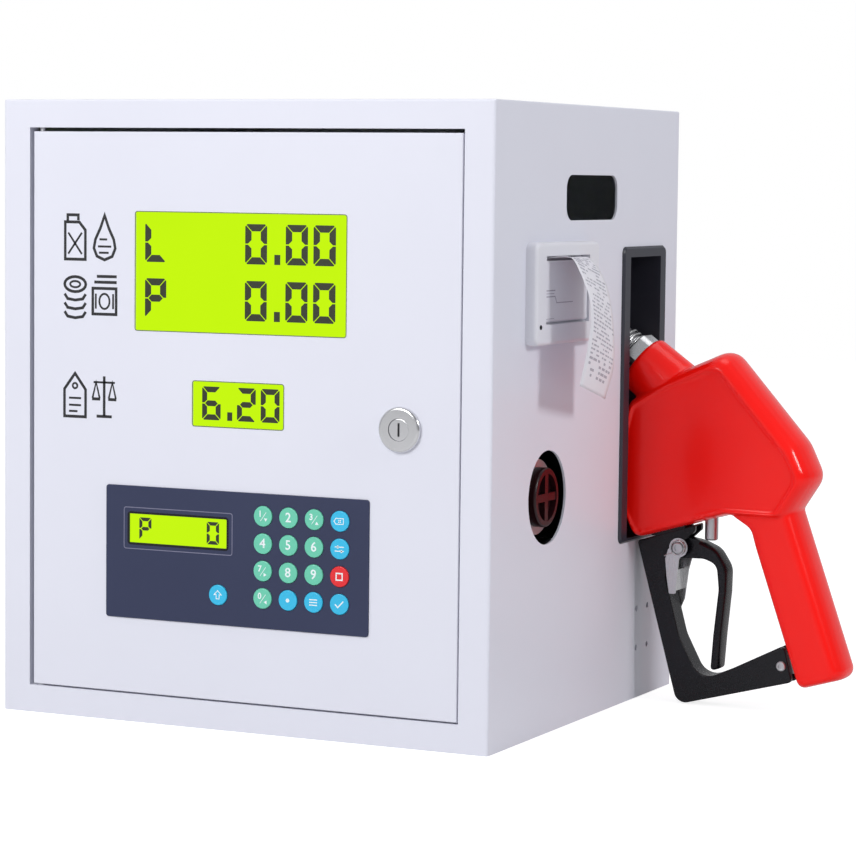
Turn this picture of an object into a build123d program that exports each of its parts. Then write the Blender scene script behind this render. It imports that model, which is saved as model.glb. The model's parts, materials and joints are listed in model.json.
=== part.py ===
from build123d import *
import math
import os

# A small cabinet fuel dispenser: a sheet-steel box with a lockable display door, a receipt printer and a
# nozzle boot on its right side, and an automatic nozzle hanging in the boot. Millimetres, +Z up. The origin
# is the centre of the cabinet's base, the front faces -Y, and the nozzle hangs on the +X side.

# ---- driving dimensions ----
cabinet_width = 350.0
cabinet_depth = 310.0
cabinet_height = 400.0
sheet = 1.5  # steel sheet of the cabinet and door
frame_face = 20.0  # width of the stiles beside the door
rail = 18.0  # height of the rails over and under the door
frame_lip = 10.0  # depth of the returns round the door opening
edge_radius = 2.0  # outer bends of the cabinet
rear_flange = 16.0
running = 0.05  # radial clearance of a turning or sliding fit
slip = 0.3  # clearance between pieces that only pass each other

door_gap_hinge = 3.0
door_gap_lock = 1.0
door_gap_top = 2.5
door_gap_bottom = 1.0
door_depth = 12.0
hinge_inset = 7.0  # hinge axis, in from the opening's left edge
hinge_setback = 5.0  # hinge axis, behind the front face
pin_radius = 2.0

main_window = (151.0, 75.5, 0.0, cabinet_height - 109.0)  # width, height, centre x, centre z
price_window = (65.3, 28.4, -0.4, cabinet_height - 192.0)
pad_window = (71.3, 18.6, -43.0, 126.0)
window_fit = 0.1  # round a lens in its window
lens_setback = 0.6  # of a door lens's face, behind the door's face
lens_thickness = 2.0
lens_border = 4.0
display_gap = 0.25  # between a lens and the display behind it
display_depth = 6.0
display_border = 2.0
board_thickness = 1.6
board_border = 12.0
stud_radius = 3.0

overlay_width = 189.5
overlay_height = 85.7
overlay_x = -1.5
overlay_z = 110.4
overlay_thickness = 1.0
pad_cut_border = 5.0
key_radius = 6.5
key_flange = 1.0
key_pitch_x = 18.1
key_pitch_z = 17.35
key_first_x = 19.0
key_low_z = 86.9
key_extra_x = -13.1
key_proud = 0.8
key_travel = 0.5

lock_inset = 40.3  # in from the door's right edge
lock_z = 197.8
rosette_radius = 14.25
rosette_thickness = 3.0
lock_barrel_radius = 9.5
lock_plug_radius = 7.0
lock_tail_radius = 5.0
cam_reach = 50.0
cam_width = 16.0
cam_thickness = 2.0

slot_length = 86.0  # carry handles in both sides
slot_height = 29.0
slot_drop = 59.3  # below the cabinet's top
slot_radius = 9.0

bezel_length = 101.0
bezel_height = 64.0
bezel_depth = 8.0
bezel_y = -55.7
bezel_z = 281.0
flap_y = -57.0
flap_length = 69.0
flap_height = 39.0
flap_bottom = 262.5
flap_back = 2.0  # back of the flap, out from the side panel
flap_thickness = 4.5
flap_end_gap = 0.5
flap_pin_radius = 1.5
paper_slit = 3.0  # over the flap
paper_width = 57.0
paper_thickness = 0.4
roll_radius = 18.0
roll_bore_radius = 6.0
chassis_depth = 52.0
chassis_wall = 2.5

boot_y = 92.0
boot_length = 77.0
boot_bottom = 109.0
boot_top = 308.0
boot_flange = 2.0
boot_rim = 11.0  # beside the pocket
boot_rim_top = 7.0
boot_rim_bottom = 3.0
boot_wall = 2.5
boot_depth = 192.0
cradle_near = 26.0  # cradle under the spout, in from the side panel
cradle_far = 36.0
cradle_top = 250.0

port_y = -67.5
port_z = 151.5
port_hole_radius = 30.0
port_boss_radius = 24.0
port_bore_radius = 14.0
plug_radius = 19.0
plug_head = 7.0
plug_shank = 16.0

side_holes_y = 100.0
side_holes_z = 48.0
side_spacing_y = 20.0
side_spacing_z = 27.0
side_hole_radius = 2.0

base_spacing_x = 290.0
base_spacing_y = 250.0
base_hole_radius = 4.5

supply_depth = 50.0  # power supply box, on the left side panel
supply_length = 100.0
supply_height = 110.0
supply_y = -45.0
supply_z = 245.0
supply_vents = 6
supply_vent_pitch = 15.0

gland_x = -120.0
gland_z = 45.0
gland_radius = 8.0
vent_length = 34.0
vent_height = 4.0

pump_x0 = -20.0
pump_x1 = 45.0
pump_y = 60.0
pump_z = 62.0
pump_half = 45.0
pump_cover_thickness = 8.0
rotor_radius = 30.0
rotor_hub_radius = 14.0
rotor_blades = 8
rotor_thickness = 36.0
shaft_radius = 7.0
motor_radius = 52.0
motor_length = 135.0
foot_half = 35.0  # half width of the pump's and the motor's feet
terminal_height = 14.0  # terminal box over the motor
inlet_x = 26.0
inlet_radius = 15.0
inlet_depth = 20.0
inlet_wall = 7.0
pipe_radius = 14.0
pipe_bore_radius = 10.5
pipe_bend = 26.0

meter_x = 98.0
meter_length = 84.0
meter_width = 104.0
meter_floor = 14.0  # under the rotor chamber
meter_cover_thickness = 10.0
oval_mean = 18.0
oval_swing = 5.0
oval_centres = 37.0
oval_height = 30.0
oval_clearance = 0.5
post_radius = 4.0

nozzle_y = 92.0
nozzle_out = 4.5  # nozzle outline's origin, out from the side panel
nozzle_up = 5.0
body_width = 46.0
grip_width = 38.0
cover_wall = 7.0
nose_wall = 3.0
casting_gap = 0.3
grip_core_radius = 15.2  # at the hose thread
grip_core_step = 24.0  # from the inlet to the narrower neck
grip_neck_radius = 10.7
grip_core_length = 130.0
nose_radius = 20.0
nose_length = 40.0
spout_radius = 12.0
spout_bore_radius = 10.5
spout_rise = 37.0  # degrees above level at the nose
spout_droop = 3.0  # degrees below level at the tip
spout_bend = 70.0
spout_lead = 44.0
spout_tip = 98.0
collar_radius = 19.0
guard_width = 17.5
lever_width = 16.5
lever_eye_width = 9.0
clip_sheet = 1.2
pivot_radius = 2.5
stem_radius = 4.5
stem_x = 48.0
hose_thread_radius = 12.5
hose_thread_length = 18.0
hose_bore_radius = 8.0
hose_recess = 3.0  # of the casting's end in the cover

# ---- sizes that follow from them ----
half_width = cabinet_width / 2
half_depth = cabinet_depth / 2
front = -half_depth
rear = half_depth
mid_height = cabinet_height / 2
wall_in = half_width - sheet  # inner face of a side panel
opening_left = -half_width + frame_face
opening_right = half_width - frame_face
opening_top = cabinet_height - rail
door_left = opening_left + door_gap_hinge
door_right = opening_right - door_gap_lock
door_bottom = rail + door_gap_bottom
door_top = opening_top - door_gap_top
hinge_x = opening_left + hinge_inset
hinge_y = front + hinge_setback
lock_x = door_right - lock_inset
slot_z = cabinet_height - slot_drop
skin_back = front + sheet
windows = (main_window, price_window, pad_window)

os.makedirs("parts", exist_ok=True)


def block(x0, x1, y0, y1, z0, z1, mode=Mode.ADD):
    """A box between two opposite corners."""
    with Locations(((x0 + x1) / 2, (y0 + y1) / 2, (z0 + z1) / 2)):
        Box(x1 - x0, y1 - y0, z1 - z0, mode=mode)


def rod_x(y, z, radius, start, end, mode=Mode.ADD):
    """A cylinder along X."""
    with Locations(((start + end) / 2, y, z)):
        Cylinder(radius, end - start, rotation=(0, 90, 0), mode=mode)


def rod_y(x, z, radius, start, end, mode=Mode.ADD):
    """A cylinder along Y."""
    with Locations((x, (start + end) / 2, z)):
        Cylinder(radius, end - start, rotation=(90, 0, 0), mode=mode)


def rod_z(x, y, radius, start, end, mode=Mode.ADD):
    """A cylinder along Z."""
    with Locations((x, y, (start + end) / 2)):
        Cylinder(radius, end - start, mode=mode)


# ---- side panels: wall, front stile with its return, rear flange, folded from one sheet each ----
flange_x = half_width - rear_flange / 2
flange_face = rear - sheet
screw_heights = (0.15 * cabinet_height, 0.5 * cabinet_height, 0.85 * cabinet_height)
screw_radius = 2.0
flap_left = flap_y - flap_length / 2
flap_right = flap_y + flap_length / 2
flap_top = flap_bottom + flap_height
well_left = flap_left - flap_end_gap  # clear space round the flap and in the chassis
well_right = flap_right + flap_end_gap
well_bottom = flap_bottom - 0.7
well_top = flap_top + paper_slit
boot_mid_z = (boot_bottom + boot_top) / 2
pocket_left = boot_y - boot_length / 2 + boot_rim
pocket_right = boot_y + boot_length / 2 - boot_rim
pocket_low = boot_bottom + boot_rim_bottom
pocket_high = boot_top - boot_rim_top
with BuildPart() as side_panel_right:
    with BuildSketch(Plane.XY.offset(sheet)):
        with Locations((half_width - sheet / 2, 0)):
            Rectangle(sheet, cabinet_depth)
        with Locations((half_width - frame_face / 2, front + sheet / 2)):
            Rectangle(frame_face, sheet)
        with Locations((opening_right + sheet / 2, front + frame_lip / 2)):
            Rectangle(sheet, frame_lip)
        with Locations((flange_x, flange_face - sheet / 2)):
            Rectangle(rear_flange, sheet)
    extrude(amount=cabinet_height - 2 * sheet)
    fillet(edges().filter_by(Axis.Z).sort_by_distance((half_width, front, mid_height))[0], edge_radius)
    with BuildSketch(Plane.YZ.offset(wall_in - 1)):
        with Locations((0, slot_z)):
            RectangleRounded(slot_length, slot_height, slot_radius)
        with Locations((port_y, port_z)):
            Circle(port_hole_radius)
        with Locations((side_holes_y, side_holes_z)):
            with GridLocations(side_spacing_y, side_spacing_z, 2, 2):
                Circle(side_hole_radius)
        with Locations((flap_y, (well_bottom + well_top) / 2)):
            Rectangle(well_right - well_left + 2 * chassis_wall + slip,
                      well_top - well_bottom + 2 * chassis_wall + slip)
        with Locations((boot_y, (pocket_low + pocket_high) / 2)):
            Rectangle(pocket_right - pocket_left + 2 * boot_wall + slip,
                      pocket_high - pocket_low + 2 * boot_wall + slip)
    extrude(amount=sheet + 2, mode=Mode.SUBTRACT)
    for height in screw_heights:
        rod_y(flange_x, height, screw_radius, flange_face - 3, flange_face + 3, Mode.SUBTRACT)
side_panel_right.part.label = "side_panel_right"
export_step(side_panel_right.part, "parts/side_panel_right.step")

with BuildPart() as side_panel_left:
    with BuildSketch(Plane.XY.offset(sheet)):
        with Locations((-half_width + sheet / 2, 0)):
            Rectangle(sheet, cabinet_depth)
        with Locations((-half_width + frame_face / 2, front + sheet / 2)):
            Rectangle(frame_face, sheet)
        with Locations((opening_left - sheet / 2, front + frame_lip / 2)):
            Rectangle(sheet, frame_lip)
        with Locations((-flange_x, flange_face - sheet / 2)):
            Rectangle(rear_flange, sheet)
    extrude(amount=cabinet_height - 2 * sheet)
    fillet(edges().filter_by(Axis.Z).sort_by_distance((-half_width, front, mid_height))[0], edge_radius)
    with BuildSketch(Plane.YZ.offset(-half_width - 1)):
        with Locations((0, slot_z)):
            RectangleRounded(slot_length, slot_height, slot_radius)
    extrude(amount=sheet + 2, mode=Mode.SUBTRACT)
    for height in screw_heights:
        rod_y(-flange_x, height, screw_radius, flange_face - 3, flange_face + 3, Mode.SUBTRACT)
side_panel_left.part.label = "side_panel_left"
export_step(side_panel_left.part, "parts/side_panel_left.step")

# ---- top and base: a plate with its rail and the rail's return, and the hinge pin holes ----
with BuildPart() as top_panel:
    block(-half_width, half_width, front, rear, cabinet_height - sheet, cabinet_height)
    fillet(edges().filter_by(Axis.Z).group_by(Axis.Y)[0], edge_radius)
    fillet(faces().sort_by(Axis.Z)[-1].edges(), sheet - 0.3)
    block(opening_left, opening_right, front, skin_back, opening_top, cabinet_height - sheet)
    block(opening_left, opening_right, skin_back, front + frame_lip, opening_top, opening_top + sheet)
    rod_z(hinge_x, hinge_y, pin_radius, opening_top - 1, opening_top + sheet + 1, Mode.SUBTRACT)
top_panel.part.label = "top_panel"
export_step(top_panel.part, "parts/top_panel.step")

with BuildPart() as base_plate:
    block(-half_width, half_width, front, rear, 0, sheet)
    fillet(edges().filter_by(Axis.Z).group_by(Axis.Y)[0], edge_radius)
    block(opening_left, opening_right, front, skin_back, sheet, rail)
    block(opening_left, opening_right, skin_back, front + frame_lip, rail - sheet, rail)
    rod_z(hinge_x, hinge_y, pin_radius, rail - sheet - 1, rail + 1, Mode.SUBTRACT)
    with GridLocations(base_spacing_x, base_spacing_y, 2, 2):
        Cylinder(base_hole_radius, 4 * sheet, mode=Mode.SUBTRACT)
base_plate.part.label = "base_plate"
export_step(base_plate.part, "parts/base_plate.step")

# ---- rear panel, between the side walls, and its screws ----
panel_width = cabinet_width - 2 * sheet - 2 * slip
panel_height = cabinet_height - 2 * sheet - 2 * slip
with BuildPart() as rear_panel:
    with BuildSketch(Plane.XZ.offset(-rear)):
        with Locations((0, mid_height)):
            Rectangle(panel_width, panel_height)
        with Locations((0, 0.72 * cabinet_height)):
            with GridLocations(2.2 * vent_length, 2.5 * vent_height, 3, 6):
                SlotOverall(vent_length, vent_height, mode=Mode.SUBTRACT)
        with Locations((inlet_x, pump_z)):
            Circle(inlet_radius + inlet_wall + 1, mode=Mode.SUBTRACT)
        with Locations((gland_x, gland_z)):
            Circle(gland_radius, mode=Mode.SUBTRACT)
        for height in screw_heights:
            with Locations((-flange_x, height), (flange_x, height)):
                Circle(screw_radius, mode=Mode.SUBTRACT)
    extrude(amount=sheet)
rear_panel.part.label = "rear_panel"
export_step(rear_panel.part, "parts/rear_panel.step")

with BuildPart() as rear_panel_screws:
    for height in screw_heights:
        for side in (-flange_x, flange_x):
            rod_y(side, height, screw_radius, rear - 4 * sheet, rear)
            rod_y(side, height, 1.9 * screw_radius, rear, rear + 2)
rear_panel_screws.part.label = "rear_panel_screws"
export_step(rear_panel_screws.part, "parts/rear_panel_screws.step")

# ---- hinge pins: pressed into the rails' returns, turning in the door's folded edges ----
pin_engage = 5.0
pin_head = 2.0
pin_head_radius = 1.7 * pin_radius
with BuildPart() as hinge_pins:
    rod_z(hinge_x, hinge_y, pin_radius, door_top - pin_engage, opening_top + sheet)
    rod_z(hinge_x, hinge_y, pin_head_radius, opening_top + sheet, opening_top + sheet + pin_head)
    rod_z(hinge_x, hinge_y, pin_radius, rail - sheet, door_bottom + pin_engage)
    rod_z(hinge_x, hinge_y, pin_head_radius, rail - sheet - pin_head, rail - sheet)
    rod_z(hinge_x, hinge_y, pin_head_radius, rail, door_bottom - running)
hinge_pins.part.label = "hinge_pins"
export_step(hinge_pins.part, "parts/hinge_pins.step")

# ---- door: a tray with folded edges, windows, lock hole and board studs ----
pad_cut_width = overlay_width - 2 * pad_cut_border
pad_cut_height = overlay_height - 2 * pad_cut_border
display_face = skin_back + lens_thickness + display_gap
board_front = display_face + display_depth
board_left = main_window[2] - main_window[0] / 2 - board_border
board_right = main_window[2] + main_window[0] / 2 + board_border
board_bottom = price_window[3] - price_window[1] / 2 - board_border
board_top = main_window[3] + main_window[1] / 2 + board_border
stud_inset = 5.0
pad_stud_inset = 4.0
board_corners = [(x, z) for x in (board_left + stud_inset, board_right - stud_inset)
                 for z in (board_bottom + stud_inset, board_top - stud_inset)]
pad_left = overlay_x - pad_cut_width / 2
pad_right = overlay_x + pad_cut_width / 2
pad_low = overlay_z - pad_cut_height / 2
pad_high = overlay_z + pad_cut_height / 2
pad_corners = [(x, z) for x in (pad_left - pad_stud_inset, pad_right + pad_stud_inset)
               for z in (pad_low, pad_high)]
with BuildPart() as door_panel:
    block(door_left, door_right, front, front + door_depth, door_bottom, door_top)
    block(door_left + sheet, door_right - sheet, skin_back, front + door_depth, door_bottom + sheet,
          door_top - sheet, Mode.SUBTRACT)
    fillet(faces().sort_by(Axis.Y)[0].edges(), 0.8)
    for width, height, x, z in (main_window, price_window):
        block(x - width / 2, x + width / 2, front - 1, skin_back + 1, z - height / 2, z + height / 2,
              Mode.SUBTRACT)
    block(pad_left, pad_right, front - 1, skin_back + 1, pad_low, pad_high, Mode.SUBTRACT)
    rod_y(lock_x, lock_z, lock_barrel_radius, front - 1, skin_back + 1, Mode.SUBTRACT)
    rod_z(hinge_x, hinge_y, pin_radius + running, door_bottom - 1, door_bottom + sheet + 1, Mode.SUBTRACT)
    rod_z(hinge_x, hinge_y, pin_radius + running, door_top - sheet - 1, door_top + 1, Mode.SUBTRACT)
    for x, z in board_corners + pad_corners:
        rod_y(x, z, stud_radius, skin_back, board_front)
door_panel.part.label = "door_panel"
export_step(door_panel.part, "parts/door_panel.step")

# ---- display lenses: a raised window with a border glued behind the skin ----
pad_lens_face = front - overlay_thickness / 2
lens_sizes = [(width, height, x, z, front + lens_setback, skin_back, lens_border)
              for width, height, x, z in (main_window, price_window)]
lens_sizes.append((*pad_window, pad_lens_face, front, lens_border / 2))
with BuildPart() as display_lenses:
    for width, height, x, z, face, step, border in lens_sizes:
        in_x = width / 2 - window_fit
        in_z = height / 2 - window_fit
        out_x = width / 2 + border
        out_z = height / 2 + border
        block(x - in_x, x + in_x, face, step, z - in_z, z + in_z)
        block(x - out_x, x + out_x, step, skin_back + lens_thickness, z - out_z, z + out_z)
display_lenses.part.label = "display_lenses"
export_step(display_lenses.part, "parts/display_lenses.step")

with BuildPart() as lcd_modules:
    for width, height, x, z in windows:
        half_x = width / 2 + display_border
        half_z = height / 2 + display_border
        block(x - half_x, x + half_x, display_face, board_front, z - half_z, z + half_z)
lcd_modules.part.label = "lcd_modules"
export_step(lcd_modules.part, "parts/lcd_modules.step")

# ---- boards: display controller and keypad board with its tact switches ----
key_cells = [(column, row) for row in range(4) for column in range(4)]
key_places = [(key_first_x + column * key_pitch_x, key_low_z + row * key_pitch_z)
              for column, row in key_cells]
key_places.append((key_extra_x, key_low_z))
key_tail = front + 5.0
switch_face = key_tail + key_travel + 0.2
switch_half = 3.0
board_back = board_front + board_thickness
relay_x = main_window[2] - 40
relay_z = main_window[3] - 13
socket_x = main_window[2] + 40
with BuildPart() as controller_board:
    block(board_left, board_right, board_front, board_back, board_bottom, board_top)
    block(relay_x - 20, relay_x + 20, board_back, board_back + 9, relay_z - 22, relay_z + 22)
    block(socket_x - 30, socket_x + 30, board_back, board_back + 12, relay_z - 7, relay_z + 7)
    block(pad_left - 2 * pad_stud_inset, pad_right + 2 * pad_stud_inset, board_front, board_back,
          pad_low - pad_stud_inset, pad_high + pad_stud_inset)
    for x, z in key_places:
        block(x - switch_half, x + switch_half, switch_face, board_front, z - switch_half, z + switch_half)
controller_board.part.label = "controller_board"
export_step(controller_board.part, "parts/controller_board.step")

# ---- keypad overlay: a thin raised panel with holes for the keys and the display lens ----
with BuildPart() as keypad_overlay:
    with BuildSketch(Plane.XZ.offset(-front)):
        with Locations((overlay_x, overlay_z)):
            RectangleRounded(overlay_width, overlay_height, 2)
        with Locations((pad_window[2], pad_window[3])):
            Rectangle(pad_window[0], pad_window[1], mode=Mode.SUBTRACT)
        with Locations(*key_places):
            Circle(key_radius + slip, mode=Mode.SUBTRACT)
    extrude(amount=overlay_thickness)
    fillet(faces().sort_by(Axis.Y)[0].outer_wire().edges(), 0.4)
keypad_overlay.part.label = "keypad_overlay"
export_step(keypad_overlay.part, "parts/keypad_overlay.step")

# ---- keys: a domed cap, a flange that keeps it behind the overlay, a tail over its switch ----
key_names = ["key_0", "key_point", "key_menu", "key_enter", "key_7", "key_8", "key_9", "key_stop",
             "key_4", "key_5", "key_6", "key_set", "key_1", "key_2", "key_3", "key_clear", "key_shift"]
key_face = front - overlay_thickness - key_proud
key_tail_radius = 2.5
flange_back = front + slip + key_flange
for key_name, (x, z) in zip(key_names, key_places):
    with BuildPart() as key:
        rod_y(x, z, key_radius, key_face, front + slip)
        fillet(edges().sort_by(Axis.Y)[0], 0.5)
        rod_y(x, z, key_radius + 1, front + slip, flange_back)
        rod_y(x, z, key_tail_radius, flange_back, key_tail)
    key.part.label = key_name
    export_step(key.part, "parts/" + key_name + ".step")

# ---- cam lock ----
barrel_back = front + door_depth
lock_nut = 4.0  # thickness, and width beyond the barrel
rosette_face = front - rosette_thickness
with BuildPart() as lock_housing:
    rod_y(lock_x, lock_z, rosette_radius, rosette_face, front)
    fillet(edges().sort_by(Axis.Y)[0], 2)
    rod_y(lock_x, lock_z, lock_barrel_radius, front, barrel_back)
    with BuildSketch(Plane.XZ.offset(-skin_back - lock_nut)):
        with Locations((lock_x, lock_z)):
            RegularPolygon(lock_barrel_radius + lock_nut, 6)
    extrude(amount=lock_nut)
    rod_y(lock_x, lock_z, lock_plug_radius + running, rosette_face - 1, barrel_back + 1, Mode.SUBTRACT)
lock_housing.part.label = "lock_housing"
export_step(lock_housing.part, "parts/lock_housing.step")

cam_front = barrel_back + 0.5
cam_back = cam_front + cam_thickness
key_slot = (1.4, 8.4, 7.0)  # width, length, depth
plug_face = rosette_face + 0.4
with BuildPart() as lock_cylinder:
    rod_y(lock_x, lock_z, lock_plug_radius, plug_face, barrel_back)
    fillet(edges().sort_by(Axis.Y)[0], 0.6)
    rod_y(lock_x, lock_z, lock_tail_radius, barrel_back, cam_back)
    rod_y(lock_x, lock_z, lock_tail_radius + 2.5, cam_back, cam_back + 2)
    block(lock_x - key_slot[0] / 2, lock_x + key_slot[0] / 2, plug_face - 1, plug_face + key_slot[2],
          lock_z - key_slot[1] / 2, lock_z + key_slot[1] / 2, Mode.SUBTRACT)
lock_cylinder.part.label = "lock_cylinder"
export_step(lock_cylinder.part, "parts/lock_cylinder.step")

with BuildPart() as lock_cam:
    with BuildSketch(Plane.XZ.offset(-cam_back)):
        with Locations((lock_x, lock_z)):
            Circle(cam_width / 2)
        with Locations((lock_x, lock_z - cam_reach / 2)):
            Rectangle(cam_width, cam_reach)
        with Locations((lock_x, lock_z)):
            Circle(lock_tail_radius, mode=Mode.SUBTRACT)
    extrude(amount=cam_thickness)
lock_cam.part.label = "lock_cam"
export_step(lock_cam.part, "parts/lock_cam.step")

# ---- receipt printer ----
flap_axis_radius = flap_thickness / 2
flap_axis_x = half_width + flap_back + flap_axis_radius
flap_axis_z = flap_bottom + flap_axis_radius
pin_depth = 2.0
with BuildPart() as printer_bezel:
    with BuildSketch(Plane.YZ.offset(half_width)):
        with Locations((bezel_y, bezel_z)):
            RectangleRounded(bezel_length, bezel_height, 5)
    extrude(amount=bezel_depth)
    fillet(faces().sort_by(Axis.X)[-1].edges(), 2.5)
    block(half_width - 1, half_width + bezel_depth + 1, well_left, well_right, well_bottom, well_top,
          Mode.SUBTRACT)
    rod_y(flap_axis_x, flap_axis_z, flap_pin_radius + running, well_left - pin_depth - 0.2,
          well_right + pin_depth + 0.2, Mode.SUBTRACT)
printer_bezel.part.label = "printer_bezel"
export_step(printer_bezel.part, "parts/printer_bezel.step")

with BuildPart() as printer_lid:
    with BuildSketch(Plane.XZ.offset(-flap_right)):
        with Locations((flap_axis_x, flap_axis_z)):
            Circle(flap_axis_radius)
        with Locations((flap_axis_x, (flap_axis_z + flap_top) / 2)):
            Rectangle(flap_thickness, flap_top - flap_axis_z)
    extrude(amount=flap_length)
    rod_y(flap_axis_x, flap_axis_z, flap_pin_radius, flap_left - pin_depth, flap_right + pin_depth)
printer_lid.part.label = "printer_lid"
export_step(printer_lid.part, "parts/printer_lid.step")

roll_x = half_width - chassis_depth / 2 - 1
roll_z = (well_bottom + well_top) / 2
with BuildPart() as printer_chassis:
    block(half_width - chassis_depth, half_width, well_left - chassis_wall, well_right + chassis_wall,
          well_bottom - chassis_wall, well_top + chassis_wall)
    block(half_width - chassis_depth + chassis_wall, half_width + 1, well_left, well_right, well_bottom,
          well_top, Mode.SUBTRACT)
    rod_y(roll_x, roll_z, roll_bore_radius - running, well_left, flap_y - paper_width / 2 + 2)
    rod_y(roll_x, roll_z, roll_bore_radius - running, flap_y + paper_width / 2 - 2, well_right)
printer_chassis.part.label = "printer_chassis"
export_step(printer_chassis.part, "parts/printer_chassis.step")

with BuildPart() as paper_roll:
    rod_y(roll_x, roll_z, roll_radius, flap_y - paper_width / 2, flap_y + paper_width / 2)
    rod_y(roll_x, roll_z, roll_bore_radius, flap_y - paper_width, flap_y + paper_width, Mode.SUBTRACT)
paper_roll.part.label = "paper_roll"
export_step(paper_roll.part, "parts/paper_roll.step")

# The receipt hangs from the slit over the flap, out and down in one curl.
paper_x = half_width + bezel_depth - 2
paper_z = flap_top + 0.8
with BuildPart() as receipt:
    with BuildSketch(Plane.XZ.offset(-flap_y - paper_width / 2)):
        with BuildLine():
            paper_line = FilletPolyline((paper_x - 4, paper_z), (paper_x + 24, paper_z + 1),
                                        (paper_x + 34, paper_z - 50), (paper_x + 27, paper_z - 92),
                                        radius=(20, 60))
            offset(paper_line, amount=paper_thickness / 2, side=Side.BOTH, mode=Mode.REPLACE)
        make_face()
    extrude(amount=paper_width)
receipt.part.label = "receipt"
export_step(receipt.part, "parts/receipt.step")

# ---- nozzle boot: a flange on the panel and a deep pocket with a cradle for the spout ----
pocket_back = half_width - boot_depth
nozzle_plane = Plane(origin=(half_width + nozzle_out, nozzle_y, nozzle_up), x_dir=(1, 0, 0), z_dir=(0, -1, 0))
nose_centre = Vector(-2.0, 223.5)
spout_way = Vector(-1, 0).rotate(Axis.Z, -spout_rise)  # along the spout at the nose
tip_way = Vector(-1, 0).rotate(Axis.Z, spout_droop)
nose_plane = Plane(origin=nozzle_plane.from_local_coords(nose_centre), x_dir=(0, 1, 0),
                   z_dir=(spout_way.X, 0, spout_way.Y))
cradle_radius = spout_radius + slip
with BuildPart() as nozzle_boot:
    with BuildSketch(Plane.YZ.offset(half_width)):
        with Locations((boot_y, boot_mid_z)):
            RectangleRounded(boot_length, boot_top - boot_bottom, 5)
    extrude(amount=boot_flange)
    chamfer(faces().sort_by(Axis.X)[-1].edges(), boot_flange * 0.7)
    block(pocket_back, half_width, pocket_left - boot_wall, pocket_right + boot_wall, pocket_low - boot_wall,
          pocket_high + boot_wall)
    block(pocket_back + boot_wall, half_width + boot_flange + 1, pocket_left, pocket_right, pocket_low,
          pocket_high, Mode.SUBTRACT)
    block(half_width - cradle_far, half_width - cradle_near, pocket_left, pocket_right, pocket_low,
          cradle_top)
    with BuildSketch(nose_plane):
        Circle(cradle_radius)
        with Locations((0, -2 * cradle_radius)):
            Rectangle(2 * cradle_radius, 4 * cradle_radius)
    extrude(amount=60, mode=Mode.SUBTRACT)
nozzle_boot.part.label = "nozzle_boot"
export_step(nozzle_boot.part, "parts/nozzle_boot.step")

# ---- pump: body, cover, vaned rotor on the motor's shaft, motor ----
chamber_radius = rotor_radius + 0.5
chamber_back = pump_x1 - rotor_thickness - 1
pump_top = pump_z + pump_half
with BuildPart() as pump_body:
    block(pump_x0, pump_x1, pump_y - pump_half, pump_y + pump_half, pump_z - pump_half, pump_top)
    fillet(edges().filter_by(Axis.X), 6)
    block(pump_x0 + 5, pump_x1 - 5, pump_y - foot_half, pump_y + foot_half, sheet, pump_z - pump_half)
    rod_x(pump_y, pump_z, chamber_radius, chamber_back, pump_x1 + 1, Mode.SUBTRACT)
    rod_x(pump_y, pump_z, shaft_radius + running, pump_x0 - 1, chamber_back + 1, Mode.SUBTRACT)
    rod_y(inlet_x, pump_z, pipe_bore_radius, pump_y - pump_half - 1, pump_y + pump_half + 1, Mode.SUBTRACT)
pump_body.part.label = "pump_body"
export_step(pump_body.part, "parts/pump_body.step")

shaft_end = pump_x1 + pump_cover_thickness / 2
with BuildPart() as pump_cover:
    block(pump_x1, pump_x1 + pump_cover_thickness, pump_y - pump_half, pump_y + pump_half,
          pump_z - pump_half, pump_top)
    fillet(edges().filter_by(Axis.X), 6)
    with BuildSketch(Plane.YZ.offset(pump_x1 + pump_cover_thickness)):
        with Locations((pump_y, pump_z)):
            with GridLocations(1.6 * pump_half, 1.6 * pump_half, 2, 2):
                RegularPolygon(6, 6)
    extrude(amount=5)
    rod_x(pump_y, pump_z, shaft_radius + running, pump_x1 - 1, shaft_end + 0.3, Mode.SUBTRACT)
pump_cover.part.label = "pump_cover"
export_step(pump_cover.part, "parts/pump_cover.step")

shaft_start = pump_x0 - 40
with BuildPart() as pump_rotor:
    rod_x(pump_y, pump_z, rotor_hub_radius, chamber_back + 0.5, pump_x1 - 0.5)
    with BuildSketch(Plane.YZ.offset(chamber_back + 0.5)):
        with Locations((pump_y, pump_z)):
            with PolarLocations((rotor_hub_radius + rotor_radius) / 2 - 1, rotor_blades):
                Rectangle(rotor_radius - rotor_hub_radius + 2, 4)
    extrude(amount=rotor_thickness)
    rod_x(pump_y, pump_z, shaft_radius, shaft_start, shaft_end)
pump_rotor.part.label = "pump_rotor"
export_step(pump_rotor.part, "parts/pump_rotor.step")

with BuildPart() as motor_housing:
    rod_x(pump_y, pump_z, motor_radius, pump_x0 - motor_length, pump_x0)
    fillet(edges().group_by(Axis.X)[0], 8)
    block(pump_x0 - motor_length + 20, pump_x0 - 20, pump_y - foot_half, pump_y + foot_half, sheet,
          pump_z - motor_radius + 8)
    block(pump_x0 - 90, pump_x0 - 40, pump_y - 20, pump_y + 20, pump_z,
          pump_z + motor_radius + terminal_height)
    rod_x(pump_y, pump_z, shaft_radius + running, shaft_start - 1, pump_x0 + 1, Mode.SUBTRACT)
motor_housing.part.label = "motor_housing"
export_step(motor_housing.part, "parts/motor_housing.step")

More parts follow.
